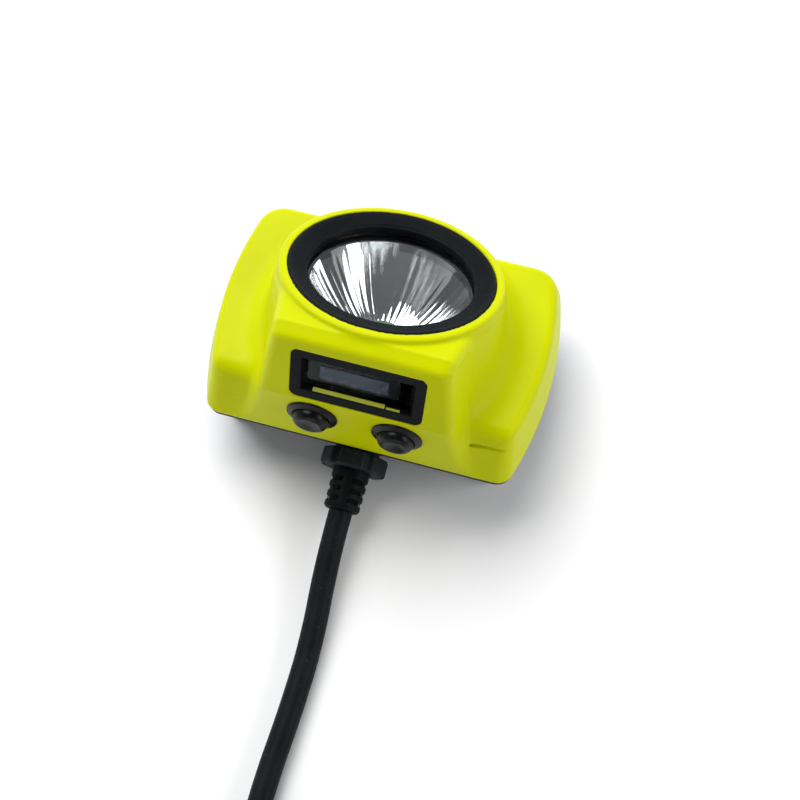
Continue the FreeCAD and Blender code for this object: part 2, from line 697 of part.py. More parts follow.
def hook_screws():
    solids = []
    for x in (-HOOK_SCREW_X, HOOK_SCREW_X):
        seat = CHANNEL_Z - HOOK_T
        low = seat - HOOK_HEAD_H
        head = cyl(HOOK_HEAD_R, low, seat, x, HOOK_SCREW_Y).cut(cyl(1.0, 0, low + 0.9, x, HOOK_SCREW_Y))
        solids.append(head.fuse(cyl(SCREW_R, seat, CHANNEL_Z + FLOOR_T, x, HOOK_SCREW_Y)).removeSplitter())
    return Part.makeCompound(solids)


# ---------------------------------------------------------------- cable gland
def gland_boss():
    boss = placed(cyl(GLAND_FLANGE_R + 1.0, LOCKNUT_DEPTH + LOCKNUT_T, GLAND_SEAT), GLAND)
    return boss.common(block(-20, -40, 0.2, 20, -18, FLANGE_Z + 0.2))


def gland_passage():
    """Thread hole, seat and locknut pocket, cut through the rear housing."""
    near = block(-20, -60, 0.5, 20, -15, 30)
    seat = placed(cyl(GLAND_FLANGE_R + 0.2, GLAND_SEAT, 5), GLAND).common(near)
    return joined([placed(cyl(THREAD_R + GAP, -30, 0), GLAND).common(near),
                   placed(cyl(7.7, -30, LOCKNUT_DEPTH + LOCKNUT_T), GLAND).common(near)]).fuse(seat)


def gland_body():
    """Threaded tube with a flange, clamped through the rear housing's wall."""
    body = turned([(GLAND_BORE_R, THREAD_END), (THREAD_R, THREAD_END), (THREAD_R, GLAND_SEAT + 0.6),
                   (GLAND_FLANGE_R, GLAND_SEAT + 0.6), (GLAND_FLANGE_R, GLAND_SEAT + 2.4),
                   (THREAD_R, GLAND_SEAT + 2.4), (THREAD_R, -2.4), (5.0, -2.4), (5.0, -8.0),
                   (GLAND_BORE_R, -8.0)])
    return placed(body, GLAND)


def gland_nut():
    """Ring with six lugs, flat slots between them."""
    body = turned([(THREAD_R + GAP, -NUT_LEN), (NUT_R, -NUT_LEN), (NUT_R, -0.7), (NUT_R - 0.7, 0), (5.3, 0),
                   (5.3, -2.2), (THREAD_R + GAP, -2.2)])
    pitch = 360.0 / LUGS
    half_slot = NUT_R * sin(pitch / 2 - math.degrees(math.asin(LUG_W / 2 / NUT_R)))
    for i in range(LUGS):
        slot = block(NUT_ROOT_R, -half_slot, -NUT_LEN - 1, NUT_R + 1, half_slot, 1)
        slot.rotate(V(0, 0, 0), V(0, 0, 1), pitch * i)
        body = body.cut(slot)
    return placed(body, GLAND)


def gland_grommet():
    return placed(ring(4.95, CORD_R + GAP, -7.95, -2.3), GLAND)


def gland_o_ring():
    return placed(ring(GLAND_FLANGE_R - 0.05, THREAD_R + GAP, GLAND_SEAT, GLAND_SEAT + 0.6), GLAND)


def gland_locknut():
    six = [V(LOCKNUT_R * cos(60 * i), LOCKNUT_R * sin(60 * i), LOCKNUT_DEPTH) for i in range(6)]
    body = polygon_face(six).extrude(V(0, 0, LOCKNUT_T))
    return placed(body.cut(cyl(THREAD_R + GAP, -20, -10)), GLAND)


def strain_relief():
    """Tapered rubber boot with three rows of slots on each side."""
    base, tip = RELIEF_BASE_R, RELIEF_TIP_R
    body = turned([(CORD_R + GAP, -2.15), (base, -2.15), (base, 1.2), (tip, RELIEF_LEN - 1.0),
                   (tip - 0.8, RELIEF_LEN), (CORD_R + GAP, RELIEF_LEN)])
    for i in range(RELIEF_SLOTS):
        z = 3.3 - SLOT_W / 2 + SLOT_PITCH * i
        slot = block(CORD_R + 0.65, -3.6, z, 7.0, 3.6, z + SLOT_W)
        body = body.cut(slot).cut(mirrored(slot))
    return placed(body, GLAND)


def cable_end():
    """The cord's end inside the gland, stripped just inside the housing."""
    return placed(cyl(CORD_R, CABLE_END, RELIEF_LEN), GLAND)


def lead_wires():
    """Three insulated cores from the cord's end to the socket on the main board."""
    cores = [Part.makeCylinder(0.6, 7.9, V(x, -15.0, 13.9), V(0, 1, 0)) for x in (-1.7, 0.0, 1.7)]
    return Part.makeCompound(cores)


# ---------------------------------------------------------------- cord
def off_coil(distance, z):
    """Point on the line that leaves the coil's top turn, that far along it."""
    x = COIL_CENTRE[0] + TAIL_TURN_R * cos(TAIL_ANGLE) - distance * sin(TAIL_ANGLE)
    y = COIL_CENTRE[1] + TAIL_TURN_R * sin(TAIL_ANGLE) + distance * cos(TAIL_ANGLE)
    return V(x, y, z)


def tube(name, points):
    """Round tube along straight runs joined by tangent arcs."""
    start = points[0]
    edges = []
    radii = []
    for a, b, c in zip(points, points[1:], points[2:]):
        d1 = b - a
        d2 = c - b
        short = min(d1.Length, d2.Length)
        d1.normalize()
        d2.normalize()
        turn = d1.getAngle(d2)
        radius = 0.45 * short / math.tan(turn / 2)
        reach = 0.45 * short
        p = b - d1 * reach
        q = b + d2 * reach
        inward = d2 - d1
        inward.normalize()
        centre = b + inward * (radius / math.cos(turn / 2))
        out = b - centre
        out.normalize()
        edges.append(Part.LineSegment(start, p).toShape())
        edges.append(Part.Arc(p, centre + out * radius, q).toShape())
        start = q
        radii.append(radius)
    edges.append(Part.LineSegment(start, points[-1]).toShape())
    length = sum(e.Length for e in edges)
    path = Part.Wire(edges)
    first = points[1] - points[0]
    section = Part.Wire(Part.makeCircle(CORD_R, points[0], first))
    solid = path.makePipeShell([section], True, False)
    print("%s: bend radii %s, length %.1f, volume over section x length %.4f"
          % (name, [round(r) for r in radii], length, solid.Volume / (math.pi * CORD_R ** 2 * length)))
    return solid


EXIT = GLAND.multVec(V(0, 0, RELIEF_LEN))
LEAD = [EXIT, GLAND.multVec(V(0, 0, RELIEF_LEN + 14.0)), V(1.9, -80, 3.4), V(1.6, -100, 3.3),
        V(0.5, -117, 3.3), V(0.7, -133, 3.4), V(0.2, -148, 3.9)]
TAIL = [off_coil(distance, z) for distance, z in TAIL_LEVELS]


def coil_section(out=0.0):
    """(r, z) outline round the stacked turns."""
    low = 0.0 if not out else TIE_T
    return [(COIL_IN_R - out, low), (COIL_OUT_R + out, low), (COIL_OUT_R + out, COIL_LOW_H - 1.6),
            (COIL_TOP_OUT_R + out, COIL_TOP_H - 0.6 + out), (COIL_TOP_OUT_R - 1.2, COIL_TOP_H + out),
            (COIL_TOP_IN_R + 1.2, COIL_TOP_H + out), (COIL_TOP_IN_R - out, COIL_TOP_H - 0.6 + out),
            (COIL_IN_R - out, COIL_LOW_H - 1.6)]


def at_coil(shape):
    shape.translate(V(COIL_CENTRE[0], COIL_CENTRE[1], 0))
    return shape


def tie_prism(points, half):
    face = polygon_face([V(r, -half, z) for r, z in points])
    return face.extrude(V(0, 2 * half, 0))


def coil_tie():
    """Flat strap wrapped once round the coil's turns."""
    inner = coil_section(0.5)
    middle_r = (COIL_IN_R + COIL_OUT_R) / 2
    outer = [(r + TIE_T * (1 if r > middle_r else -1), z + TIE_T * (1 if z > 1 else -1)) for r, z in inner]
    band = tie_prism(outer, TIE_HALF_W).cut(tie_prism(inner, TIE_HALF_W + 1))
    band.rotate(V(0, 0, 0), V(0, 0, 1), TIE_ANGLE)
    return at_coil(band)


def cord_coil():
    body = turned(coil_section())
    under = block(COIL_IN_R - 3, -TIE_HALF_W - 0.3, -1, COIL_OUT_R + 3, TIE_HALF_W + 0.3, TIE_T + 0.05)
    under.rotate(V(0, 0, 0), V(0, 0, 1), TIE_ANGLE)
    return at_coil(body.cut(under))


# ---------------------------------------------------------------- battery connector
CONNECTOR = FreeCAD.Placement(TAIL[-1], FreeCAD.Rotation(V(0, 0, 1), TAIL_ANGLE - 180.0).multiply(
    FreeCAD.Rotation(V(1, 0, 0), 90.0)))


def connector_boot():
    """Ribbed rubber boot that widens from the cord to the connector."""
    body = turned([(0, 0), (4.4, 0), (4.7, 0.6), (6.3, BOOT_LEN), (0, BOOT_LEN)])
    for i in range(BOOT_GROOVES):
        z = 3.0 + 3.2 * i
        body = body.cut(ring(8, 4.1 + 0.28 * i, z, z + 1.3))
    return placed(body, CONNECTOR)


def connector_body():
    """Shell with a shoulder behind the coupling ring and a lip that keeps the ring on."""
    r = SHELL_R
    return placed(turned([(0, BOOT_LEN), (r + 0.4, BOOT_LEN), (r + 0.4, 26.8), (r, 26.8), (r, 34),
                          (r + 0.6, 34), (r + 0.6, 35.5), (5.6, 35.5), (5.6, 31), (0, 31)]), CONNECTOR)


def coupling_nut():
    """Knurled ring that turns on the connector's body."""
    bore = SHELL_R + 0.08
    low, top = COUPLING
    r = COUPLING_R
    body = turned([(bore, low), (r - 0.4, low), (r, low + 0.5), (r, top - 0.4), (r - 0.4, top),
                   (r - 0.9, top), (r - 0.9, 33.8), (bore, 33.8)])
    for i in range(20):
        flute = cyl(0.55, low + 1.8, top - 2.0, r + 0.35, 0)
        flute.rotate(V(0, 0, 0), V(0, 0, 1), 18 * i)
        body = body.cut(flute)
    return placed(body, CONNECTOR)


def contact_places():
    return [(CONTACT_CIRCLE_R * cos(90 + 120 * i), CONTACT_CIRCLE_R * sin(90 + 120 * i)) for i in range(3)]


def connector_insert():
    body = cyl(5.55, 31, 34.5)
    for x, y in contact_places():
        body = body.cut(cyl(CONTACT_R + GAP, 30, 36, x, y))
    return placed(body, CONNECTOR)


def connector_contacts():
    pins = [cyl(CONTACT_R, 31, 40.0, x, y) for x, y in contact_places()]
    return placed(Part.makeCompound([p.makeFillet(0.4, p.Edges[:1]) for p in pins]), CONNECTOR)


# ---------------------------------------------------------------- all nodes
SIDES = {"left": -1, "right": 1}


def nodes():
    """Every node's name and shape."""
    made = {
        "front_housing": front_housing(),
        "bezel_ring": bezel_ring(),
        "bezel_o_ring": bezel_o_ring(),
        "lens": lens(),
        "lens_gasket": lens_gasket(),
        "reflector": reflector(),
        "reflector_spacer": reflector_spacer(),
        "heat_sink": heat_sink(),
        "led_board": led_board(),
        "led_emitter": led_emitter(),
        "display_frame": display_frame(),
        "display_window": display_window(),
        "oled_panel": oled_panel(),
        "oled_ribbon": oled_ribbon(),
        "control_board": control_board(),
        "rear_housing": rear_housing(),
        "housing_gasket": gasket_track(GAP),
        "housing_screws": housing_screws(),
        "main_board": main_board(),
        "board_supports": board_supports(),
        "board_parts": board_parts(),
        "helmet_hook": helmet_hook(),
        "hook_screws": hook_screws(),
        "gland_body": gland_body(),
        "gland_nut": gland_nut(),
        "gland_grommet": gland_grommet(),
        "gland_o_ring": gland_o_ring(),
        "gland_locknut": gland_locknut(),
        "lead_wires": lead_wires(),
        "cable_end": cable_end(),
        "strain_relief": strain_relief(),
        "cord_tube": tube("cord_tube", LEAD),
        "cord_coil": cord_coil(),
        "cord_tail": tube("cord_tail", TAIL),
        "coil_tie": coil_tie(),
        "connector_boot": connector_boot(),
        "connector_body": connector_body(),
        "connector_insert": connector_insert(),
        "connector_contacts": connector_contacts(),
        "coupling_nut": coupling_nut(),
    }
    for name, side in SIDES.items():
        made["button_cap_" + name] = button_cap(side)
        made["button_seal_" + name] = button_seal(side)
        made["switch_plunger_" + name] = switch_plunger(side)
        made["tact_switch_" + name] = tact_switch(side)
    return made


os.makedirs("parts", exist_ok=True)
for node_name, node_shape in nodes().items():
    save(node_name, node_shape)
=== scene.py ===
import json
import math

import bmesh
import bpy
import numpy as np
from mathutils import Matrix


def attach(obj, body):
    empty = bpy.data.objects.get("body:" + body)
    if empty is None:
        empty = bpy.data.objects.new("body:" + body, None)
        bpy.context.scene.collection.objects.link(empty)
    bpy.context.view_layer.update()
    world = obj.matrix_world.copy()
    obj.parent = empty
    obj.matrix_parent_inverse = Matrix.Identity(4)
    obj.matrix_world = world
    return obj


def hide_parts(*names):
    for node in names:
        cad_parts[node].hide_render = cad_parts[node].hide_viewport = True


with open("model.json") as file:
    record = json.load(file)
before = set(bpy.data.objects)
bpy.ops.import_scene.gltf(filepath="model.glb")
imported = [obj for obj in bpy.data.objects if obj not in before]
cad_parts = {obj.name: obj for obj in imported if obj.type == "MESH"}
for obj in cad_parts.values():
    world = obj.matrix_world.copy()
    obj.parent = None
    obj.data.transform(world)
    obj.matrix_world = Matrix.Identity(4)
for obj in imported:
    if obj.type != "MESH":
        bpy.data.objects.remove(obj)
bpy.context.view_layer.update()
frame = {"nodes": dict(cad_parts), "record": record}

import openvdb
from mathutils import Matrix, Vector

# Miner's cap lamp. Lengths are in metres unless a name ends in _mm; MM turns millimetres into metres.
MM = 0.001
HEADPIECE = "headpiece"

# Pieces are drawn from the same zero as the CAD drawing, then moved so that the origin is under the
# middle of the headpiece's box.
CENTRE_Y = 0.001189
TO_ORIGIN = Matrix.Translation((0.0, -CENTRE_Y, 0.0))

# The lens axis leans from +Z towards +Y; depth down it is measured from the rim's face.
LENS_CENTRE_MM = Vector((0.0, 11.1, 49.6))
LENS_TILT = math.radians(31.0)
LENS_FRAME = Matrix.Translation(LENS_CENTRE_MM * MM) @ Matrix.Rotation(-LENS_TILT, 4, "X")

# The cord leaves the gland downwards and lies on the floor.
GLAND_DIP = math.radians(8.0)
GLAND_FACE_MM = Vector((0.0, -32.77, 9.73))
GLAND_DIRECTION = Vector((0.0, -math.cos(GLAND_DIP), -math.sin(GLAND_DIP)))
RELIEF_MM = 11.5
CORD_DIAMETER = 0.0066
CORD_RADIUS = CORD_DIAMETER / 2

# ------------------------------------------------------------------ camera
CAMERA_AZIMUTH = math.radians(15.08)
CAMERA_ELEVATION = math.radians(70.0)
CAMERA_DISTANCE = 0.4018
CAMERA_AIM = Vector((0.0078, -0.011989, 0.0141))
CAMERA_LENS = 65.2


def make_camera():
    data = bpy.data.cameras.new("camera")
    data.lens = CAMERA_LENS
    data.sensor_width = 36.0
    data.clip_start = 0.01
    camera = bpy.data.objects.new("camera", data)
    bpy.context.scene.collection.objects.link(camera)
    flat = math.cos(CAMERA_ELEVATION)
    back = Vector((math.sin(CAMERA_AZIMUTH) * flat, -math.cos(CAMERA_AZIMUTH) * flat,
                   math.sin(CAMERA_ELEVATION)))
    camera.location = CAMERA_AIM + back * CAMERA_DISTANCE
    camera.rotation_euler = back.to_track_quat("Z", "Y").to_euler()
    bpy.context.scene.camera = camera


# ------------------------------------------------------------------ object helpers
def add_object(name, data):
    piece = bpy.data.objects.new(name, data)
    bpy.context.scene.collection.objects.link(piece)
    return piece


def mesh_object(name, vertices, faces, smooth=True):
    mesh = bpy.data.meshes.new(name)
    mesh.from_pydata([tuple(v) for v in vertices], [], [tuple(f) for f in faces])
    mesh.validate()
    mesh.polygons.foreach_set("use_smooth", [smooth] * len(mesh.polygons))
    return add_object(name, mesh)


def ring_faces(segments, rows):
    """Faces between the neighbouring columns of a closed profile that goes once round."""
    faces = []
    for i in range(segments):
        j = (i + 1) % segments
        for k in range(rows):
            m = (k + 1) % rows
            faces.append((i * rows + k, j * rows + k, j * rows + m, i * rows + m))
    return faces


def turned_mesh(name, profile_mm, frame_matrix, segments):
    """Surface of revolution about the frame's Z from (r, z) points in millimetres."""
    vertices = []
    for i in range(segments):
        angle = 2 * math.pi * i / segments
        for r, z in profile_mm:
            vertices.append(frame_matrix @ (Vector((r * math.cos(angle), r * math.sin(angle), z)) * MM))
    piece = mesh_object(name, vertices, ring_faces(segments, len(profile_mm)))
    mend(piece)
    return piece


def mend(piece):
    """Merges doubled points, drops empty faces and turns all faces outwards."""
    work = bmesh.new()
    work.from_mesh(piece.data)
    bmesh.ops.remove_doubles(work, verts=work.verts, dist=1e-7)
    bmesh.ops.dissolve_degenerate(work, edges=work.edges, dist=1e-8)
    bmesh.ops.recalc_face_normals(work, faces=work.faces)
    work.to_mesh(piece.data)
    work.free()


def dress(piece, material):
    piece.data.materials.clear()
    piece.data.materials.append(material)


def stand_in(piece, material, body, slot, *nodes):
    """Moves the piece to the origin; it rides on its body, wears its material and stands for CAD nodes."""
    piece.data.transform(TO_ORIGIN)
    dress(piece, material)
    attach(piece, body)
    if nodes:
        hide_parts(*nodes)
    return piece


def smooth_by_angle(piece, degrees):
    """Smooth faces with hard edges where faces meet at more than the angle."""
    mesh = piece.data
    mesh.polygons.foreach_set("use_smooth", [True] * len(mesh.polygons))
    work = bmesh.new()
    work.from_mesh(mesh)
    limit = math.radians(degrees)
    for edge in work.edges:
        edge.smooth = len(edge.link_faces) == 2 and edge.calc_face_angle(0.0) < limit
    work.to_mesh(mesh)
    work.free()


# ------------------------------------------------------------------ material helpers
class Nodes:
    """Short way to build a node material."""

    def __init__(self, name):
        self.material = bpy.data.materials.new(name)
        self.material.use_nodes = True
        self.tree = self.material.node_tree
        self.shader = self.tree.nodes["Principled BSDF"]
        self.coordinates = self.tree.nodes.new("ShaderNodeTexCoord").outputs["Object"]

    def new(self, kind, **values):
        node = self.tree.nodes.new(kind)
        for key, value in values.items():
            setattr(node, key, value)
        return node

    def link(self, source, target):
        self.tree.links.new(source, target)

    def noise(self, scale, detail=4.0, roughness=0.55, distortion=0.0, vector=None):
        node = self.new("ShaderNodeTexNoise")
        node.inputs["Scale"].default_value = scale
        node.inputs["Detail"].default_value = detail
        node.inputs["Roughness"].default_value = roughness
        node.inputs["Distortion"].default_value = distortion
        self.link(vector or self.coordinates, node.inputs["Vector"])
        return node.outputs["Fac"]

    def stretched(self, scale):
        node = self.new("ShaderNodeMapping")
        node.inputs["Scale"].default_value = scale
        self.link(self.coordinates, node.inputs["Vector"])
        return node.outputs["Vector"]

    def cells(self, scale):
        node = self.new("ShaderNodeTexVoronoi")
        node.inputs["Scale"].default_value = scale
        self.link(self.coordinates, node.inputs["Vector"])
        return node.outputs["Distance"]

    def span(self, value, low, high, out_low, out_high):
        node = self.new("ShaderNodeMapRange")
        for key, number in zip(("From Min", "From Max", "To Min", "To Max"), (low, high, out_low, out_high)):
            node.inputs[key].default_value = number
        self.link(value, node.inputs["Value"])
        return node.outputs["Result"]

    def colours(self, factor, stops):
        node = self.new("ShaderNodeValToRGB")
        ramp = node.color_ramp
        while len(ramp.elements) < len(stops):
            ramp.elements.new(0.5)
        for element, (place, colour) in zip(ramp.elements, stops):
            element.position = place
            element.color = (*colour, 1.0)
        self.link(factor, node.inputs["Fac"])
        return node.outputs["Color"]

    def mixed(self, factor, first, second):
        node = self.new("ShaderNodeMix", data_type="RGBA")
        if isinstance(factor, float):
            node.inputs["Factor"].default_value = factor
        else:
            self.link(factor, node.inputs["Factor"])
        for index, colour in ((6, first), (7, second)):
            if isinstance(colour, tuple):
                node.inputs[index].default_value = (*colour, 1.0)
            else:
                self.link(colour, node.inputs[index])
        return node.outputs[2]

    def maths(self, operation, first, second):
        node = self.new("ShaderNodeMath", operation=operation)
        for index, value in ((0, first), (1, second)):
            if isinstance(value, (int, float)):
                node.inputs[index].default_value = value
            else:
                self.link(value, node.inputs[index])
        return node.outputs["Value"]

    def bump(self, height, strength, distance, normal=None):
        node = self.new("ShaderNodeBump")
        node.inputs["Strength"].default_value = strength
        node.inputs["Distance"].default_value = distance
        self.link(height, node.inputs["Height"])
        if normal is not None:
            self.link(normal, node.inputs["Normal"])
        return node.outputs["Normal"]

    def edges(self, low, high):
        """White along convex edges, from the surface's own pointiness; the black mouldings use it to paint an
        edge highlight.
        """
        node = self.new("ShaderNodeNewGeometry")
        return self.span(node.outputs["Pointiness"], low, high, 0.0, 1.0)

    def finish(self, colour, roughness, normal=None, **fixed):
        self.link(colour, self.shader.inputs["Base Color"])
        if isinstance(roughness, float):
            self.shader.inputs["Roughness"].default_value = roughness
        else:
            self.link(roughness, self.shader.inputs["Roughness"])
        if normal is not None:
            self.link(normal, self.shader.inputs["Normal"])
        for key, value in fixed.items():
            self.shader.inputs[key.replace("_", " ")].default_value = value
        return self.material


# ------------------------------------------------------------------ materials
def paler(base):
    return tuple(min(1.0, c * 1.6 + 0.001) for c in base)


def yellow_plastic():
    n = Nodes("housing_yellow")
    broad = n.noise(38.0, 3.0)
    fine = n.noise(900.0, 3.0, 0.6)
    scuffs = n.noise(1.0, 6.0, 0.7, vector=n.stretched((420.0, 60.0, 240.0)))
    base = n.colours(broad, [(0.3, (0.530, 0.575, 0.0)), (0.7, (0.570, 0.615, 0.0))])
    dust = n.span(scuffs, 0.66, 0.80, 0.0, 0.12)
    colour = n.mixed(dust, base, (0.47, 0.51, 0.02))
    rough = n.span(fine, 0.3, 0.7, 0.30, 0.40)
    rough = n.maths("ADD", rough, n.span(scuffs, 0.6, 0.8, 0.0, 0.12))
    grain = n.cells(2600.0)
    normal = n.bump(grain, 0.10, 0.00003, n.bump(fine, 0.12, 0.00006))
    return n.finish(colour, rough, normal, Specular_IOR_Level=0.06)


def black_plastic(name, base, rough_low, rough_high, grain_scale, grain, specks=0.5, shine=0.05):
    """Fine-textured black moulding with dust specks and a painted highlight along convex edges."""
    n = Nodes(name)
    broad = n.noise(60.0, 3.0)
    fine = n.noise(grain_scale, 4.0, 0.65)
    colour = n.colours(broad, [(0.3, base), (0.75, paler(base))])
    dots = n.cells(1500.0)
    dust = n.span(dots, 0.03, 0.07, specks, 0.0)
    patchy = n.maths("MULTIPLY", dust, n.span(n.noise(300.0, 2.0), 0.56, 0.64, 0.0, 1.0))
    colour = n.mixed(patchy, colour, (0.16, 0.165, 0.17))
    # Painted highlight: a lighter grey along convex edges, where light would catch the rims.
    colour = n.mixed(n.maths("MULTIPLY", n.edges(0.53, 0.60), 0.20), colour, (0.06, 0.063, 0.066))
    rough = n.span(fine, 0.3, 0.7, rough_low, rough_high)
    normal = n.bump(fine, grain, 0.00010)
    return n.finish(colour, rough, normal, Specular_IOR_Level=shine)


def rubber(name, base, scale=700.0, shine=0.08, rough=(0.42, 0.60)):
    n = Nodes(name)
    fine = n.noise(scale, 5.0, 0.65)
    broad = n.noise(90.0, 3.0)
    colour = n.colours(broad, [(0.3, base), (0.75, paler(base))])
    dust = n.span(n.noise(1400.0, 2.0), 0.68, 0.74, 0.0, 0.30)
    colour = n.mixed(dust, colour, (0.10, 0.103, 0.106))
    rough = n.span(fine, 0.3, 0.7, *rough)
    normal = n.bump(fine, 0.25, 0.00008)
    return n.finish(colour, rough, normal, Specular_IOR_Level=shine)


def chrome():
    n = Nodes("reflector_chrome")
    streaks = n.noise(1.0, 4.0, 0.6, vector=n.stretched((900.0, 900.0, 120.0)))
    colour = n.colours(streaks, [(0.3, (0.70, 0.72, 0.735)), (0.7, (0.84, 0.855, 0.865))])
    rough = n.span(streaks, 0.3, 0.7, 0.02, 0.06)
    normal = n.bump(streaks, 0.06, 0.00005)
    return n.finish(colour, rough, normal, Metallic=1.0)


def metal(name, base, rough_low, rough_high, streak=(1400.0, 60.0, 1400.0)):
    n = Nodes(name)
    brushed = n.noise(1.0, 5.0, 0.6, vector=n.stretched(streak))
    darker = tuple(c * 0.82 for c in base)
    colour = n.colours(brushed, [(0.3, darker), (0.7, base)])
    spots = n.span(n.noise(220.0, 4.0), 0.62, 0.75, 0.0, 0.30)
    colour = n.mixed(spots, colour, tuple(c * 0.6 for c in base))
    rough = n.span(brushed, 0.3, 0.7, rough_low, rough_high)
    normal = n.bump(brushed, 0.15, 0.00004)
    return n.finish(colour, rough, normal, Metallic=1.0)


def lens_glass():
    n = Nodes("lens_clear")
    smears = n.noise(130.0, 4.0, 0.6, 0.8)
    colour = n.colours(smears, [(0.3, (0.95, 0.97, 0.98)), (0.7, (1.0, 1.0, 1.0))])
    rough = n.span(smears, 0.50, 0.75, 0.0, 0.03)
    normal = n.bump(smears, 0.02, 0.00002)
    return n.finish(colour, rough, normal, Transmission_Weight=1.0, IOR=1.45)


def tinted_pane():
    n = Nodes("display_glass")
    smears = n.noise(160.0, 4.0, 0.6, 0.6)
    colour = n.colours(smears, [(0.3, (0.62, 0.66, 0.70)), (0.7, (0.70, 0.74, 0.78))])
    rough = n.span(smears, 0.45, 0.75, 0.01, 0.06)
    return n.finish(colour, rough, n.bump(smears, 0.02, 0.00002), Transmission_Weight=1.0, IOR=1.08)


def board_material():
    n = Nodes("board_green")
    fine = n.noise(500.0, 4.0)
    tracks = n.span(n.cells(420.0), 0.05, 0.12, 0.0, 1.0)
    colour = n.mixed(tracks, (0.02, 0.24, 0.09), (0.008, 0.12, 0.045))
    colour = n.mixed(0.3, colour, n.colours(fine, [(0.3, (0.01, 0.10, 0.04)), (0.7, (0.02, 0.20, 0.08))]))
    return n.finish(colour, n.span(fine, 0.3, 0.7, 0.25, 0.4), n.bump(tracks, 0.2, 0.00004))


def plain_colour(name, first, second, rough_low, rough_high, scale=400.0, grain=0.15):
    """Moulded material with slight colour and gloss variation."""
    n = Nodes(name)
    fine = n.noise(scale, 4.0, 0.6)
    broad = n.noise(scale / 8, 3.0)
    colour = n.colours(broad, [(0.3, first), (0.7, second)])
    rough = n.span(fine, 0.3, 0.7, rough_low, rough_high)
    return n.finish(colour, rough, n.bump(fine, grain, 0.00006))


def woven(name, first, second):
    n = Nodes(name)
    across = n.new("ShaderNodeTexWave", wave_type="BANDS", bands_direction="DIAGONAL")
    across.inputs["Scale"].default_value = 900.0
    n.link(n.coordinates, across.inputs["Vector"])
    fuzz = n.noise(1200.0, 4.0)
    colour = n.mixed(across.outputs["Fac"], first, second)
    colour = n.mixed(n.span(fuzz, 0.55, 0.75, 0.0, 0.4), colour, (0.16, 0.16, 0.17))
    return n.finish(colour, n.span(fuzz, 0.3, 0.7, 0.8, 0.95), n.bump(across.outputs["Fac"], 0.5, 0.0001),
                    Sheen_Weight=0.3)


# ------------------------------------------------------------------ cord
LEAD_END_MM = GLAND_FACE_MM + GLAND_DIRECTION * RELIEF_MM
LEAD_STRAIGHT_MM = GLAND_FACE_MM + GLAND_DIRECTION * (RELIEF_MM + 14.0)
LEAD_ROUTE_MM = [LEAD_END_MM, LEAD_STRAIGHT_MM, (1.9, -80.0, 3.4), (1.6, -100.0, 3.3), (0.5, -117.0, 3.3),
                 (0.7, -133.0, 3.4), (0.2, -148.0, 3.9)]
TAIL_LEVELS_MM = [(12.0, 11.3), (24.0, 11.3), (35.0, 8.8), (44.0, 8.8)]
TAIL_ANGLE = math.radians(142.0)
COIL_CENTRE_MM = (43.2, -160.0)
COIL_LOW_Z_MM = 3.9
COIL_TOP_Z_MM = 9.7
COIL_TURNS_MM = [(43.0, COIL_LOW_Z_MM), (36.3, COIL_LOW_Z_MM), (29.6, COIL_LOW_Z_MM), (32.9, COIL_TOP_Z_MM),
                 (39.6, COIL_TOP_Z_MM)]
POINTS_PER_TURN = 24
BLEND_FROM = 0.62           # part of a turn after which it moves over to the next one


def on_coil(radius, angle, z):
    return (COIL_CENTRE_MM[0] + radius * math.cos(angle), COIL_CENTRE_MM[1] + radius * math.sin(angle), z)


def coil_points():
    """The coil's turns, each blending into the next one at its end, up to where the tail leaves."""
    points = []
    last = len(COIL_TURNS_MM) - 1
    end = (last + (TAIL_ANGLE - math.pi) / (2 * math.pi) + 1) * POINTS_PER_TURN
    for step in range(int(end) + 1):
        turn, part = divmod(step / POINTS_PER_TURN, 1.0)
        radius, height = COIL_TURNS_MM[int(turn)]
        later = COIL_TURNS_MM[min(int(turn) + 1, last)]
        blend = max(0.0, (part - BLEND_FROM) / (1 - BLEND_FROM))
        blend = blend * blend * (3 - 2 * blend)
        r = radius + (later[0] - radius) * blend
        z = height + (later[1] - height) * blend
        points.append(on_coil(r, math.pi + 2 * math.pi * part, z))
    return points


def tail_points():
    """The tail leaves the top turn along its tangent and rides over the lead in a low hump."""
    x, y, z = on_coil(COIL_TURNS_MM[-1][0], TAIL_ANGLE, COIL_TOP_Z_MM)
    along = (-math.sin(TAIL_ANGLE), math.cos(TAIL_ANGLE))
    points = [(x, y, z)]
    return points + [(x + along[0] * far, y + along[1] * far, level) for far, level in TAIL_LEVELS_MM]


def cord_curve():
    """The whole battery cord: lead, coil and tail in one spline."""
    route = list(LEAD_ROUTE_MM) + coil_points() + tail_points()
    data = bpy.data.curves.new("battery_cord", "CURVE")
    data.dimensions = "3D"
    data.resolution_u = 8
    data.bevel_depth = CORD_RADIUS
    data.bevel_resolution = 8
    data.use_fill_caps = True
    spline = data.splines.new("NURBS")
    spline.points.add(len(route) - 1)
    for point, place in zip(spline.points, route):
        point.co = (*(Vector(place) * MM), 1.0)
    spline.order_u = 3
    spline.use_endpoint_u = True
    return add_object("battery_cord", data)


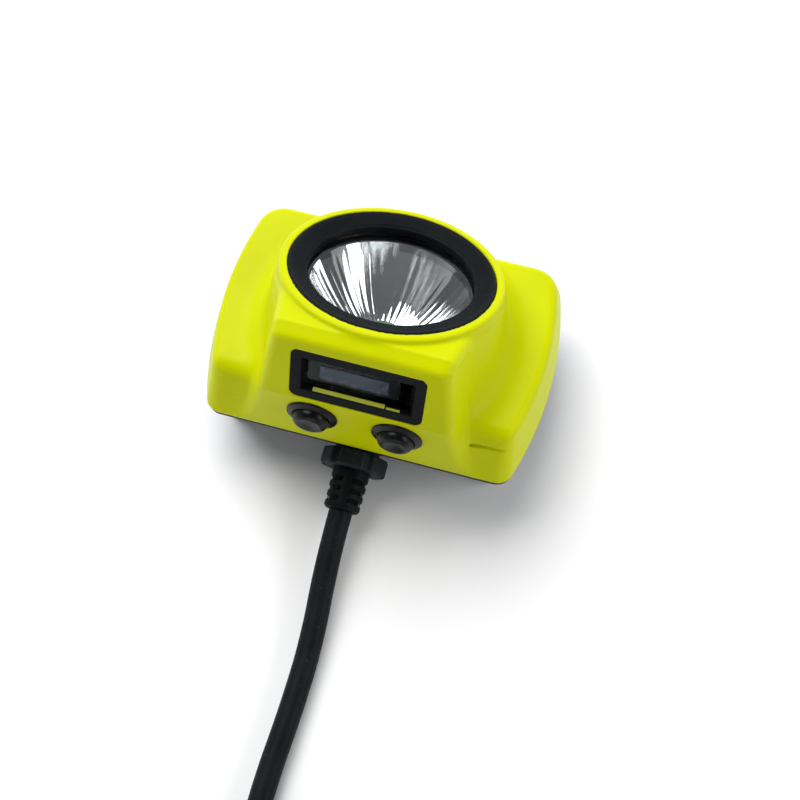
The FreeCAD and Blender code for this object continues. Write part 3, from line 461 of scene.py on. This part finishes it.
# ------------------------------------------------------------------ yellow shell as a distance field
SEAM_Z = 19.0
NEAR_Y, FAR_Y = -29.0, 34.0
HALF_W, SIDE_Y, SIDE_R = 47.4, 3.0, 96.0
NEAR_CORNER_R, FAR_CORNER_R = 5.0, 8.0
NEAR_LEAN, SIDE_LEAN, FAR_LEAN = (math.radians(a) for a in (23.4, 12.5, 14.0))
WING_SHOULDER, WING_HEEL = (-21.6, 36.2), (31.6, 28.2)
WING_EDGE_R = 2.6
SHOULDER_R = 4.6
WALL = 2.0
CREASE, BOX_EDGE, BOX_RIDGE, BOX_BACK = (-27.0, 42.2), (-19.4, 62.6), (-15.2, 63.5), (6.0, 50.8)
BOX_SIDE = ((22.8, -19.4, 62.6), (27.4, -22.0, 37.5), (24.8, -4.0, 60.0))
BOX_EDGE_R = 3.0
RIM_R, BARREL_LOW_R, BARREL_LEN = 29.7, 33.4, 34.0
LEDGE_DEPTH, LEDGE_T, LEDGE_R, TUBE_R = 8.6, 2.0, 22.6, 27.3
BEZEL_R, BEZEL_BODY_R, BEZEL_FLANGE_T = 27.5, 25.5, 3.0
BUTTON_X, BUTTON_Z, BUTTON_HOLE_R = 11.5, 34.0, 6.1
DISPLAY_Z, DISPLAY_HALF, DISPLAY_CORNER = 51.2, (17.5, 8.8), 2.2
GROOVE_X, GROOVE_HALF, GROOVE_Z, GROOVE_R = 33.95, 6.45, 31.2, 0.6
# Shallow step round the barrel: the depth where it starts, how far it stands out and over what length.
CREASE_DEPTH, CREASE_STEP, CREASE_RUN = 3.2, 0.25, 0.5
WING_BLEND = 7.0        # soft radius where the barrel meets the wings
FOOT_BLEND = 5.0        # and where the box does
NECK_BLEND = 0.9        # and between the box and the barrel
BOX_TOP_R = 2.6         # between the box's front and its top
BARREL_RIM_EDGE_R = 0.8
BARREL_FRONT_EDGE_R = 1.0
BARREL_INSET = 1.2      # how far the barrel stays behind the front facets
SEAM_EDGE_R = 0.35
OPENING_EDGE_R = 0.25
GROOVE_EDGE_R = 0.2
OPENING_CUT = 6.0       # half depth of the cut for an opening in a front facet
GAP_MM = 0.05           # clearance between fixed pieces that slip into each other
# Cosines of the angle between the normals of two faces that meet at a round edge.
NEAR_SIDE_COSINE, FAR_SIDE_COSINE, NEAR_TOP_COSINE, WALL_TOP_COSINE = 0.40, 0.34, 0.23, 0.25
FRONT_TOP_COSINE, FRONT_SIDE_COSINE = 0.54, 0.12
CELL_MM = 0.4


def plane_mm(p, normal, point):
    """Signed distance from a plane; positive on the normal's side."""
    length = math.sqrt(sum(c * c for c in normal))
    return sum(axis * (c / length) for axis, c in zip(p, normal)) - sum(
        a * b / length for a, b in zip(point, normal))


def edge_plane(p, first, second):
    """Plane along X through two (y, z) points, with its outside on the left of the way between them."""
    dy, dz = second[0] - first[0], second[1] - first[1]
    return plane_mm(p, (0.0, -dz, dy), (0.0, *first))


def round_and(a, b, radius, cosine=0.0):
    """Intersection with a round edge of that radius. cosine is that of the angle between the two normals."""
    a = a + radius
    b = b + radius
    at_edge = (a > b * cosine) & (b > a * cosine)
    corner = np.sqrt(np.maximum(a * a + b * b - 2 * a * b * cosine, 0.0) / (1 - cosine * cosine))
    return np.where(at_edge, corner, np.maximum(a, b)) - radius


def soft_or(a, b, radius):
    """Union with a soft inner corner. Where the surfaces cross, the skin moves out by a quarter radius."""
    blend = np.maximum(radius - np.abs(a - b), 0.0) / radius
    return np.minimum(a, b) - blend * blend * radius * 0.25


def wing_field(p):
    """Drafted wings under a sloping top: straight near and far walls, arc sides, round corners."""
    x, y, z = p
    near = plane_mm(p, (0.0, -math.cos(NEAR_LEAN), math.sin(NEAR_LEAN)), (0.0, NEAR_Y, SEAM_Z))
    far = plane_mm(p, (0.0, math.cos(FAR_LEAN), math.sin(FAR_LEAN)), (0.0, FAR_Y, SEAM_Z))
    reach = np.hypot(np.abs(x) - (HALF_W - SIDE_R), y - SIDE_Y) - SIDE_R
    side = reach * math.cos(SIDE_LEAN) + (z - SEAM_Z) * math.sin(SIDE_LEAN)
    top = -edge_plane(p, WING_HEEL, WING_SHOULDER)
    walls = np.maximum(round_and(near, side, NEAR_CORNER_R, NEAR_SIDE_COSINE),
                       round_and(far, side, FAR_CORNER_R, FAR_SIDE_COSINE))
    shoulder = round_and(near, top, SHOULDER_R, NEAR_TOP_COSINE)
    return np.maximum(round_and(walls, top, WING_EDGE_R, WALL_TOP_COSINE), shoulder)


def box_side(p, side):
    a, b, c = (Vector(q) for q in BOX_SIDE)
    normal = (b - a).cross(c - a)
    if normal.x < 0:
        normal = -normal
    return plane_mm((p[0] * side, p[1], p[2]), tuple(normal), tuple(a))


def front_facets(p, inset=0.0):
    """The lower and upper front facets, or planes that lie that far behind them along Y."""
    low, crease, high = ((y + inset, z) for y, z in ((NEAR_Y, SEAM_Z), CREASE, BOX_EDGE))
    return np.maximum(edge_plane(p, low, crease), edge_plane(p, crease, high))


def box_field(p):
    """Central box: lower and upper front facets, a ridge and leaning sides."""
    tops = np.maximum(edge_plane(p, BOX_EDGE, BOX_RIDGE), edge_plane(p, BOX_RIDGE, BOX_BACK))
    sides = np.maximum(box_side(p, 1), box_side(p, -1))
    body = round_and(front_facets(p), tops, BOX_TOP_R, FRONT_TOP_COSINE)
    body = round_and(body, sides, BOX_EDGE_R, FRONT_SIDE_COSINE)
    return np.maximum(body, p[1] - BOX_BACK[0])


def along_lens(p):
    """Distance from the lens axis and depth down it."""
    s = math.sin(LENS_TILT)
    c = math.cos(LENS_TILT)
    y = p[1] - LENS_CENTRE_MM.y
    z = p[2] - LENS_CENTRE_MM.z
    return np.hypot(p[0], y * c - z * s), -(y * s + z * c)


def barrel_field(p):
    """Lens barrel, kept behind the front facets."""
    radius, depth = along_lens(p)
    slope = math.atan2(BARREL_LOW_R - RIM_R, BARREL_LEN)
    cone = (radius - RIM_R - depth * math.tan(slope)) * math.cos(slope)
    cone = cone - CREASE_STEP * np.clip((depth - CREASE_DEPTH) / CREASE_RUN, 0.0, 1.0)
    body = round_and(cone, -depth, BARREL_RIM_EDGE_R)
    body = np.maximum(body, depth - BARREL_LEN)
    return round_and(body, front_facets(p, BARREL_INSET), BARREL_FRONT_EDGE_R)


def facet_field(p, low, high, centre_x, centre_z):
    """Coordinates on a front facet: across, up along it, and out of it."""
    lean = math.atan2(high[0] - low[0], high[1] - low[1])
    centre_y = low[0] + (centre_z - low[1]) * math.tan(lean)
    y = p[1] - centre_y
    z = p[2] - centre_z
    return p[0] - centre_x, y * math.sin(lean) + z * math.cos(lean), -y * math.cos(lean) + z * math.sin(lean)


def shell_field(p):
    """Outside of the yellow housing, hollowed, with its openings cut."""
    wings, box, barrel = wing_field(p), box_field(p), barrel_field(p)
    outside = np.minimum(soft_or(wings, box, FOOT_BLEND), soft_or(wings, barrel, WING_BLEND))
    outside = np.minimum(outside, soft_or(box, barrel, NECK_BLEND))
    outside = np.maximum(outside, front_facets(p))
    radius, depth = along_lens(p)
    lens_tube = np.maximum(radius - TUBE_R, depth - LEDGE_DEPTH - LEDGE_T)
    shell = np.maximum(outside, -np.maximum(outside + WALL, -lens_tube))
    flange_bore = np.maximum(radius - BEZEL_R - GAP_MM, depth - BEZEL_FLANGE_T)
    body_bore = np.maximum(radius - BEZEL_BODY_R - GAP_MM, depth - LEDGE_DEPTH)
    beam_bore = np.maximum(radius - LEDGE_R, depth - LEDGE_DEPTH - LEDGE_T - 0.5)
    shell = np.maximum(shell, -np.minimum(np.minimum(flange_bore, body_bore), beam_bore))
    u, v, w = facet_field(p, CREASE, BOX_EDGE, 0.0, DISPLAY_Z)
    across, up = (np.abs(place) - half - GAP_MM for place, half in zip((u, v), DISPLAY_HALF))
    window = round_and(across, up, DISPLAY_CORNER)
    shell = round_and(shell, -np.maximum(window, np.abs(w) - OPENING_CUT), OPENING_EDGE_R)
    for side in (-1, 1):
        u, v, w = facet_field(p, (NEAR_Y, SEAM_Z), CREASE, side * BUTTON_X, BUTTON_Z)
        hole = np.maximum(np.hypot(u, v) - BUTTON_HOLE_R, np.abs(w) - OPENING_CUT)
        shell = round_and(shell, -hole, OPENING_EDGE_R)
    groove_y = NEAR_Y + (GROOVE_Z - SEAM_Z) * math.tan(NEAR_LEAN)
    groove_radius = np.hypot(p[1] - groove_y, p[2] - GROOVE_Z)
    groove = np.maximum(np.abs(p[0] - GROOVE_X) - GROOVE_HALF, groove_radius - GROOVE_R)
    shell = round_and(shell, -groove, GROOVE_EDGE_R)
    return round_and(shell, SEAM_Z - p[2], SEAM_EDGE_R)


def meshed_field(name, field, low, high, cell):
    """Mesh of a distance field's zero surface, in metres, its points pulled onto the surface."""
    counts = [int(math.ceil((b - a) / cell)) + 1 for a, b in zip(low, high)]
    axes = [np.float32(a) + np.float32(cell) * np.arange(n, dtype=np.float32) for a, n in zip(low, counts)]
    values = field(np.meshgrid(*axes, indexing="ij")).astype(np.float32)
    grid = openvdb.FloatGrid(background=3.0)
    grid.copyFromArray(np.clip(values, -3.0, 3.0))
    points, quads = grid.convertToQuads(0.0)
    points = points.astype(np.float64) * cell + np.array(low)
    step = 0.05
    for _ in range(3):
        here = field(tuple(points.T))
        ahead = [field(tuple((points + step * axis).T)) for axis in np.eye(3)]
        slope = np.stack([(there - here) / step for there in ahead], axis=1)
        size = np.maximum((slope ** 2).sum(axis=1), 0.25)
        move = -slope * (here / size)[:, None]
        points += np.clip(move, -0.5 * cell, 0.5 * cell)
    piece = mesh_object(name, points * MM, quads[:, ::-1].tolist())
    mend(piece)
    return piece


def yellow_shell(material):
    piece = meshed_field("yellow_shell", shell_field, (-48.6, -30.2, 17.8), (48.6, 43.0, 66.0), CELL_MM)
    stand_in(piece, material, HEADPIECE, "housing_yellow", "front_housing")
    return piece


# ------------------------------------------------------------------ reflector
REFLECTOR_FOCUS, REFLECTOR_VERTEX = 5.95, 26.27
REFLECTOR_RIM_R, REFLECTOR_HOLE_R, REFLECTOR_T = 21.2, 5.5, 0.9
REFLECTOR_TOP, REFLECTOR_FLANGE_R = 7.4, 23.55      # flange face, under the gasket
REFLECTOR_FLANGE_DROP = 0.05        # its outer edge lies this much lower
REFLECTOR_SEAT_GAP = 0.02           # from the flange to the housing's ledge
REFLECTOR_BACK = 0.35               # from the mirror to the bowl's back, along the axis
REFLECTOR_RINGS, REFLECTOR_BACK_RINGS = 40, 7
FLUTES = 36
FLUTE_DEPTH = 0.15
POINTS_PER_FLUTE = 12


def reflector_depth(r):
    return REFLECTOR_VERTEX - r * r / (4 * REFLECTOR_FOCUS)


def fluted_reflector(material):
    """Mirror bowl with fine flutes that run from the hole to the rim."""
    segments = FLUTES * POINTS_PER_FLUTE
    width = REFLECTOR_RIM_R - REFLECTOR_HOLE_R
    seat = -LEDGE_DEPTH + REFLECTOR_SEAT_GAP
    flange = [(REFLECTOR_RIM_R, -REFLECTOR_TOP), (REFLECTOR_FLANGE_R, -REFLECTOR_TOP - REFLECTOR_FLANGE_DROP),
              (REFLECTOR_FLANGE_R, seat), (REFLECTOR_RIM_R + REFLECTOR_T, seat)]
    vertices = []
    for i in range(segments):
        angle = 2 * math.pi * i / segments
        wave = abs(math.sin(angle * FLUTES / 2))
        for k in range(REFLECTOR_RINGS + 1):
            part = k / REFLECTOR_RINGS
            r = REFLECTOR_HOLE_R + width * part
            ripple = FLUTE_DEPTH * wave * min(1.0, 6 * part) * min(1.0, 12 * (1 - part))
            vertices.append((r * math.cos(angle), r * math.sin(angle), -reflector_depth(r) - ripple))
        for r, z in flange:
            vertices.append((r * math.cos(angle), r * math.sin(angle), z))
        for k in reversed(range(REFLECTOR_BACK_RINGS)):
            r = REFLECTOR_HOLE_R + width * k / REFLECTOR_BACK_RINGS
            place = r + REFLECTOR_T
            depth = reflector_depth(r) + REFLECTOR_BACK
            vertices.append((place * math.cos(angle), place * math.sin(angle), -depth))
    placed = [LENS_FRAME @ (Vector(v) * MM) for v in vertices]
    piece = mesh_object("fluted_reflector", placed, ring_faces(segments, len(vertices) // segments))
    mend(piece)
    smooth_by_angle(piece, 50)
    return stand_in(piece, material, HEADPIECE, "reflector_chrome", "reflector")


# ------------------------------------------------------------------ small moulded pieces
def in_metres(frame_matrix):
    matrix = frame_matrix.copy()
    matrix.translation = matrix.translation * MM
    return matrix


def small_piece(name, field, frame_matrix, low, high, cell):
    """Meshes a field in its own frame, in millimetres, and puts it in place."""
    piece = meshed_field(name, field, low, high, cell)
    piece.data.transform(in_metres(frame_matrix))
    return piece


def gland_matrix():
    turn = Matrix.Rotation(math.radians(90.0) + GLAND_DIP, 4, "X")
    return Matrix.Translation(GLAND_FACE_MM) @ turn


def facet_matrix(x, low, high, z):
    """Frame on a front facet: +Z out of it, +Y up along it."""
    lean = math.atan2(high[0] - low[0], high[1] - low[1])
    y = low[0] + (z - low[1]) * math.tan(lean)
    return Matrix.Translation(Vector((x, y, z))) @ Matrix.Rotation(math.radians(90.0) - lean, 4, "X")


FINE_CELL_MM = 0.14
NUT_R, NUT_ROOT_R, NUT_LEN, NUT_BORE_R = 9.2, 8.15, 4.6, 5.3
NUT_LUGS = 6
LUG_HALF_MM = 3.5
LUG_FLAT = 0.35                             # from the lug's tip circle to its flat face
NUT_THREAD_R, NUT_THREAD_DEPTH = 6.25, 2.2  # threaded part, which starts that deep


def nut_field(p):
    """Gland nut: six flat-faced lugs between smooth slots."""
    x, y, z = p
    radius = np.hypot(x, y)
    angle = np.arctan2(x, y)
    pitch = 2 * math.pi / NUT_LUGS
    local = (angle + pitch / 2) % pitch - pitch / 2
    across = radius * np.sin(local)
    outward = radius * np.cos(local)
    tip = round_and(radius - NUT_R, outward - (NUT_R - LUG_FLAT), 0.3)
    lug = round_and(tip, np.abs(across) - LUG_HALF_MM, 0.5)
    body = soft_or(radius - NUT_ROOT_R, lug, 0.4)
    body = round_and(body, z, 0.7)
    body = round_and(body, -NUT_LEN - z, 0.3)
    thread = np.maximum(radius - NUT_THREAD_R, z + NUT_THREAD_DEPTH)
    return np.maximum(body, -np.minimum(thread, radius - NUT_BORE_R))


RELIEF_BASE_R, RELIEF_TIP_R = 5.2, 4.95
RELIEF_TIP_EDGE_R = 1.1
RELIEF_COLLAR = 2.15        # how far the boot reaches into the nut
SLOT_ROWS, SLOT_FIRST, SLOT_PITCH = 3, 3.3, 2.75
SLOT_HALF, SLOT_BRIDGE = 0.62, 1.2
SLOT_EDGE_R = 0.2
SLOT_OUTER = 4.45           # reach of a slot's window from the middle plane
BORE_WALL = 0.65            # left round the cord behind a slot
NOTCH_DEPTH = 0.30
RIB_HALF, RIB_INSET = 0.16, 0.75


def relief_field(p):
    """Strain relief: three rows of slots on each side, a rounded tip and a collar in the nut."""
    x, y, z = p
    radius = np.hypot(x, y)
    taper = RELIEF_BASE_R + (RELIEF_TIP_R - RELIEF_BASE_R) * np.clip(z / RELIEF_MM, 0.0, 1.0)
    cord_r = CORD_RADIUS / MM
    body = round_and(radius - taper, z - RELIEF_MM, RELIEF_TIP_EDGE_R)
    body = np.maximum(body, -RELIEF_COLLAR - z)
    for row in range(SLOT_ROWS):
        centre = SLOT_FIRST + SLOT_PITCH * row
        gap = round_and(np.abs(z - centre) - SLOT_HALF, SLOT_BRIDGE - np.abs(x), SLOT_EDGE_R)
        window = round_and(np.maximum(gap, cord_r + BORE_WALL - radius), np.abs(x) - SLOT_OUTER, SLOT_EDGE_R)
        notch = np.maximum(gap, RELIEF_TIP_R - NOTCH_DEPTH - radius)
        body = round_and(body, -np.minimum(window, notch), 0.15)
        rib = np.maximum(np.abs(z - centre) - RIB_HALF, radius - taper + RIB_INSET)
        body = np.minimum(body, np.maximum(rib, cord_r - radius))
    return np.maximum(body, cord_r + GAP_MM - radius)


BUTTON_R, BUTTON_TOP, BUTTON_TAPER = 5.0, 3.55, 0.08
DISH, DISH_R = 0.7, 3.9
BUTTON_RIM_EDGE_R = 1.7
CAP_FOOT, STEM_R, STEM_TOP, STEM_FOOT = 2.6, 1.6, 2.0, 4.4
CAP_FLANGE_R, CAP_FLANGE_Z, CAP_FLANGE_HALF = 5.5, -3.0, 0.4


def button_field(p):
    """Button: tapered side, rounded rim and a dished end."""
    x, y, z = p
    radius = np.hypot(x, y)
    side = radius - BUTTON_R + BUTTON_TAPER * np.maximum(z, 0.0)
    dish = (z - BUTTON_TOP) + DISH * 0.5 * (1.0 + np.cos(math.pi * np.clip(radius / DISH_R, 0.0, 1.0)))
    cap = round_and(side, dish * 0.9, BUTTON_RIM_EDGE_R)
    cap = np.maximum(cap, -CAP_FOOT - z)
    flange = np.maximum(radius - CAP_FLANGE_R, np.abs(z - CAP_FLANGE_Z) - CAP_FLANGE_HALF)
    stem = np.maximum(radius - STEM_R, np.maximum(-STEM_FOOT - z, z + STEM_TOP))
    return np.minimum(np.minimum(cap, flange), stem)


SEAL_BORE_R, SEAL_BODY_R, SEAL_LIP_R = 5.1, 6.05, 6.9
SEAL_FOOT, SEAL_FACE = -2.5, 0.02
SEAL_LIP_EDGE_R, SEAL_LIP_Z = 0.4, 0.28


def button_seal_profile():
    """Flanged bush: (r, z) outline with a rounded outer lip that slopes up to the button."""
    foot = [(SEAL_BORE_R, SEAL_FOOT), (SEAL_BODY_R, SEAL_FOOT), (SEAL_BODY_R, SEAL_FACE),
            (SEAL_LIP_R, SEAL_FACE)]
    lip = []
    for degrees in range(0, 76, 15):
        angle = math.radians(degrees)
        lip.append((SEAL_LIP_R - SEAL_LIP_EDGE_R + SEAL_LIP_EDGE_R * math.cos(angle),
                    SEAL_LIP_Z + SEAL_LIP_EDGE_R * math.sin(angle)))
    slope = [(6.0, 0.86), (5.6, 1.08), (5.3, 1.2)]
    return foot + lip + slope + [(SEAL_BORE_R, 1.1)]


def small_parts(materials):
    """Gland nut, strain relief, buttons and their seals. Returns the strain relief, which is on the cord."""
    gland = gland_matrix()
    nut = small_piece("gland_nut_lugged", nut_field, gland, (-9.9, -9.9, -6.6), (9.9, 9.9, 0.6), 0.16)
    stand_in(nut, materials["gland_black"], HEADPIECE, "gland_black", "gland_nut")
    relief = small_piece("slotted_strain_relief", relief_field, gland, (-5.9, -5.9, -2.8), (5.9, 5.9, 12.1),
                         FINE_CELL_MM)
    stand_in(relief, materials["relief_rubber"], HEADPIECE, "relief_rubber", "strain_relief")
    for name, side in (("left", -1), ("right", 1)):
        frame_matrix = facet_matrix(side * BUTTON_X, (NEAR_Y, SEAM_Z), CREASE, BUTTON_Z)
        cap = small_piece("dished_button_" + name, button_field, frame_matrix, (-6.1, -6.1, -5.0),
                          (6.1, 6.1, 4.2), FINE_CELL_MM)
        stand_in(cap, materials["button_rubber"], "button_" + name, "button_rubber", "button_cap_" + name)
        seal = turned_mesh("rounded_seal_" + name, button_seal_profile(), in_metres(frame_matrix), 96)
        smooth_by_angle(seal, 40)
        stand_in(seal, materials["button_rubber"], HEADPIECE, "button_rubber", "button_seal_" + name)
    return relief


# ------------------------------------------------------------------ display details
def thin_box(p, centre, half, corner=0.05):
    """Rounded slab from its centre and half sizes."""
    gaps = [np.abs(axis - c) - h for axis, c, h in zip(p, centre, half)]
    return round_and(round_and(gaps[0], gaps[1], corner), gaps[2], corner)


# Centres and half sizes of the panel's lit area, in the frame of the upper facet, and of the green film
# and its tab, in the frame of the well's lower wall.
LIT_CENTRE_MM, LIT_HALF_MM = (-1.3, -0.2, -2.47), (9.0, 2.5, 0.09)
FILM_CENTRE_MM, FILM_HALF_MM = (-2.0, 0.3, 0.04), (9.5, 0.55, 0.05)
TAB_CENTRE_MM, TAB_HALF_MM = (9.7, 0.05, 0.04), (1.8, 0.3, 0.05)
WELL_WALL_MM = (0.0, -5.8, -0.75)
WELL_SLOPE = math.atan2(1.5, 1.0)


def display_pieces(materials):
    """Lit area of the panel, and the green film on the well's lower wall with its short tab."""
    frame_matrix = facet_matrix(0.0, CREASE, BOX_EDGE, DISPLAY_Z)
    active = small_piece("oled_active_area", lambda p: thin_box(p, LIT_CENTRE_MM, LIT_HALF_MM),
                         frame_matrix, (-13.0, -3.8, -2.8), (8.2, 3.5, -2.1), 0.06)
    stand_in(active, materials["oled_lit"], HEADPIECE, "oled_glass")
    slope = Matrix.Rotation(WELL_SLOPE, 4, "X")
    wall = frame_matrix @ Matrix.Translation(Vector(WELL_WALL_MM)) @ slope.inverted()

    def film(p):
        return np.minimum(thin_box(p, FILM_CENTRE_MM, FILM_HALF_MM, 0.02),
                          thin_box(p, TAB_CENTRE_MM, TAB_HALF_MM, 0.02))

    strip = small_piece("display_film_strip", film, wall, (-13.5, -1.0, -0.3), (13.5, 1.0, 0.4), 0.04)
    stand_in(strip, materials["film_green"], HEADPIECE, "led_phosphor")


# ------------------------------------------------------------------ studio
FLOOR_SIZE, FLOOR_STEPS = 3.0, 24
LIGHT_AIM = (0.0, 0.0, 0.03)


def studio_floor():
    """Plain pale floor under the lamp."""
    places = [FLOOR_SIZE * (i / FLOOR_STEPS - 0.5) for i in range(FLOOR_STEPS + 1)]
    vertices = [(x, y, 0.0) for x in places for y in places]
    row = len(places)
    faces = []
    for i in range(FLOOR_STEPS):
        for j in range(FLOOR_STEPS):
            corner = i * row + j
            faces.append((corner, corner + row, corner + row + 1, corner + 1))
    floor = mesh_object("studio_floor", vertices, faces)
    n = Nodes("studio_white")
    colour = n.colours(n.noise(3.0, 2.0), [(0.3, (0.93, 0.935, 0.945)), (0.7, (0.95, 0.955, 0.96))])
    dress(floor, n.finish(colour, 0.9, Specular_IOR_Level=0.1))


def area_light(name, place, size, power):
    """White panel that shines at the lamp."""
    data = bpy.data.lights.new(name, "AREA")
    data.shape = "RECTANGLE"
    data.size, data.size_y = size
    data.energy = power
    light = add_object(name, data)
    light.location = place
    light.rotation_euler = (Vector(place) - Vector(LIGHT_AIM)).to_track_quat("Z", "Y").to_euler()


def studio_light():
    """Sky that is bright at the horizon and dark overhead, three panels and plain colour handling."""
    world = bpy.data.worlds.new("studio")
    bpy.context.scene.world = world
    world.use_nodes = True
    back = world.node_tree.nodes["Background"]
    rise = world.node_tree.nodes.new("ShaderNodeSeparateXYZ")
    sky = world.node_tree.nodes.new("ShaderNodeTexCoord")
    ramp = world.node_tree.nodes.new("ShaderNodeValToRGB")
    for element, (place, level) in zip(ramp.color_ramp.elements, ((0.0, 0.78), (0.75, 0.03))):
        element.position = place
        element.color = (level * 0.97, level * 0.985, level, 1.0)
    world.node_tree.links.new(sky.outputs["Generated"], rise.inputs["Vector"])
    world.node_tree.links.new(rise.outputs["Z"], ramp.inputs["Fac"])
    world.node_tree.links.new(ramp.outputs["Color"], back.inputs["Color"])
    back.inputs["Strength"].default_value = 1.0
    area_light("key", (-0.55, 0.62, 1.15), (1.30, 1.00), 27.0)
    area_light("right_fill", (0.95, 0.15, 0.60), (0.80, 0.50), 5.0)
    area_light("front_window", (0.10, -0.95, 0.42), (0.80, 0.16), 1.3)
    view = bpy.context.scene.view_settings
    view.view_transform = "Standard"
    view.look = "None"
    view.exposure = 0.0


# ------------------------------------------------------------------ the scene
def all_materials():
    black = (0.003, 0.0035, 0.004)
    return {
        "housing_yellow": yellow_plastic(),
        "bezel_black": black_plastic("bezel_black", (0.003, 0.0045, 0.0055), 0.45, 0.6, 1100.0, 0.22, 0.55),
        "seal_rubber": rubber("seal_rubber", (0.012, 0.012, 0.013)),
        "lens_clear": lens_glass(),
        "reflector_chrome": chrome(),
        "inner_plastic": plain_colour("inner_plastic", (0.10, 0.10, 0.11), (0.14, 0.14, 0.15), 0.35, 0.5),
        "heat_sink_aluminium": metal("heat_sink_aluminium", (0.78, 0.79, 0.80), 0.28, 0.42),
        "board_green": board_material(),
        "led_phosphor": plain_colour("led_phosphor", (0.90, 0.72, 0.12), (0.96, 0.80, 0.20), 0.12, 0.25,
                                     900.0),
        "frame_black": black_plastic("frame_black", black, 0.40, 0.55, 900.0, 0.12, 0.3, 0.02),
        "display_glass": tinted_pane(),
        "oled_glass": plain_colour("oled_glass", (0.004, 0.005, 0.006), (0.007, 0.008, 0.010), 0.15, 0.25,
                                   260.0, 0.03),
        "oled_lit": plain_colour("oled_lit", (0.060, 0.080, 0.112), (0.070, 0.092, 0.128), 0.2, 0.3,
                                 260.0, 0.03),
        "rear_black": black_plastic("rear_black", (0.018, 0.019, 0.021), 0.45, 0.6, 800.0, 0.25),
        "screw_steel": metal("screw_steel", (0.60, 0.60, 0.61), 0.25, 0.4),
        "component_black": plain_colour("component_black", (0.02, 0.02, 0.021), (0.035, 0.035, 0.036),
                                        0.3, 0.45),
        "hook_steel": metal("hook_steel", (0.64, 0.64, 0.64), 0.26, 0.40),
        "gland_black": black_plastic("gland_black", (0.010, 0.013, 0.017), 0.40, 0.55, 1300.0, 0.9,
                                     0.25, 0.12),
        "brass_plated": metal("brass_plated", (0.72, 0.66, 0.50), 0.22, 0.35),
        "wire_insulation": plain_colour("wire_insulation", (0.48, 0.04, 0.035), (0.58, 0.06, 0.05),
                                        0.3, 0.42),
        "cord_rubber": rubber("cord_rubber", (0.004, 0.0055, 0.0075)),
        "relief_rubber": rubber("relief_rubber", (0.002, 0.003, 0.0035), 1100.0),
        "tie_fabric": woven("tie_fabric", (0.012, 0.012, 0.014), (0.040, 0.040, 0.044)),
        "connector_plastic": black_plastic("connector_plastic", (0.014, 0.014, 0.015), 0.35, 0.5, 900.0, 0.2),
        "contact_brass": metal("contact_brass", (0.85, 0.68, 0.35), 0.15, 0.3),
        "connector_metal": metal("connector_metal", (0.10, 0.10, 0.105), 0.32, 0.45),
        "button_rubber": rubber("button_rubber", (0.003, 0.0035, 0.004), 900.0, 0.20, (0.26, 0.38)),
        "film_green": plain_colour("film_green", (0.50, 0.56, 0.04), (0.56, 0.62, 0.05), 0.3, 0.45),
    }


def dress_nodes(materials):
    """Every CAD node wears the material of its slot."""
    slots = {part["node"]: part["material_slot"] for part in frame["record"]["subparts"]}
    for name, node in frame["nodes"].items():
        dress_slots(node, materials[slots[name]])


def dress_slots(node, material):
    if not node.material_slots:
        node.data.materials.append(material)
    for place in node.material_slots:
        place.material = material


make_camera()
cord = cord_curve()
materials = all_materials()
dress_nodes(materials)
stand_in(cord, materials["cord_rubber"], HEADPIECE, "cord_rubber", "cord_tube", "cord_coil", "cord_tail")
yellow_shell(materials["housing_yellow"])
fluted_reflector(materials["reflector_chrome"])
strain_relief = small_parts(materials)
display_pieces(materials)
studio_floor()
studio_light()
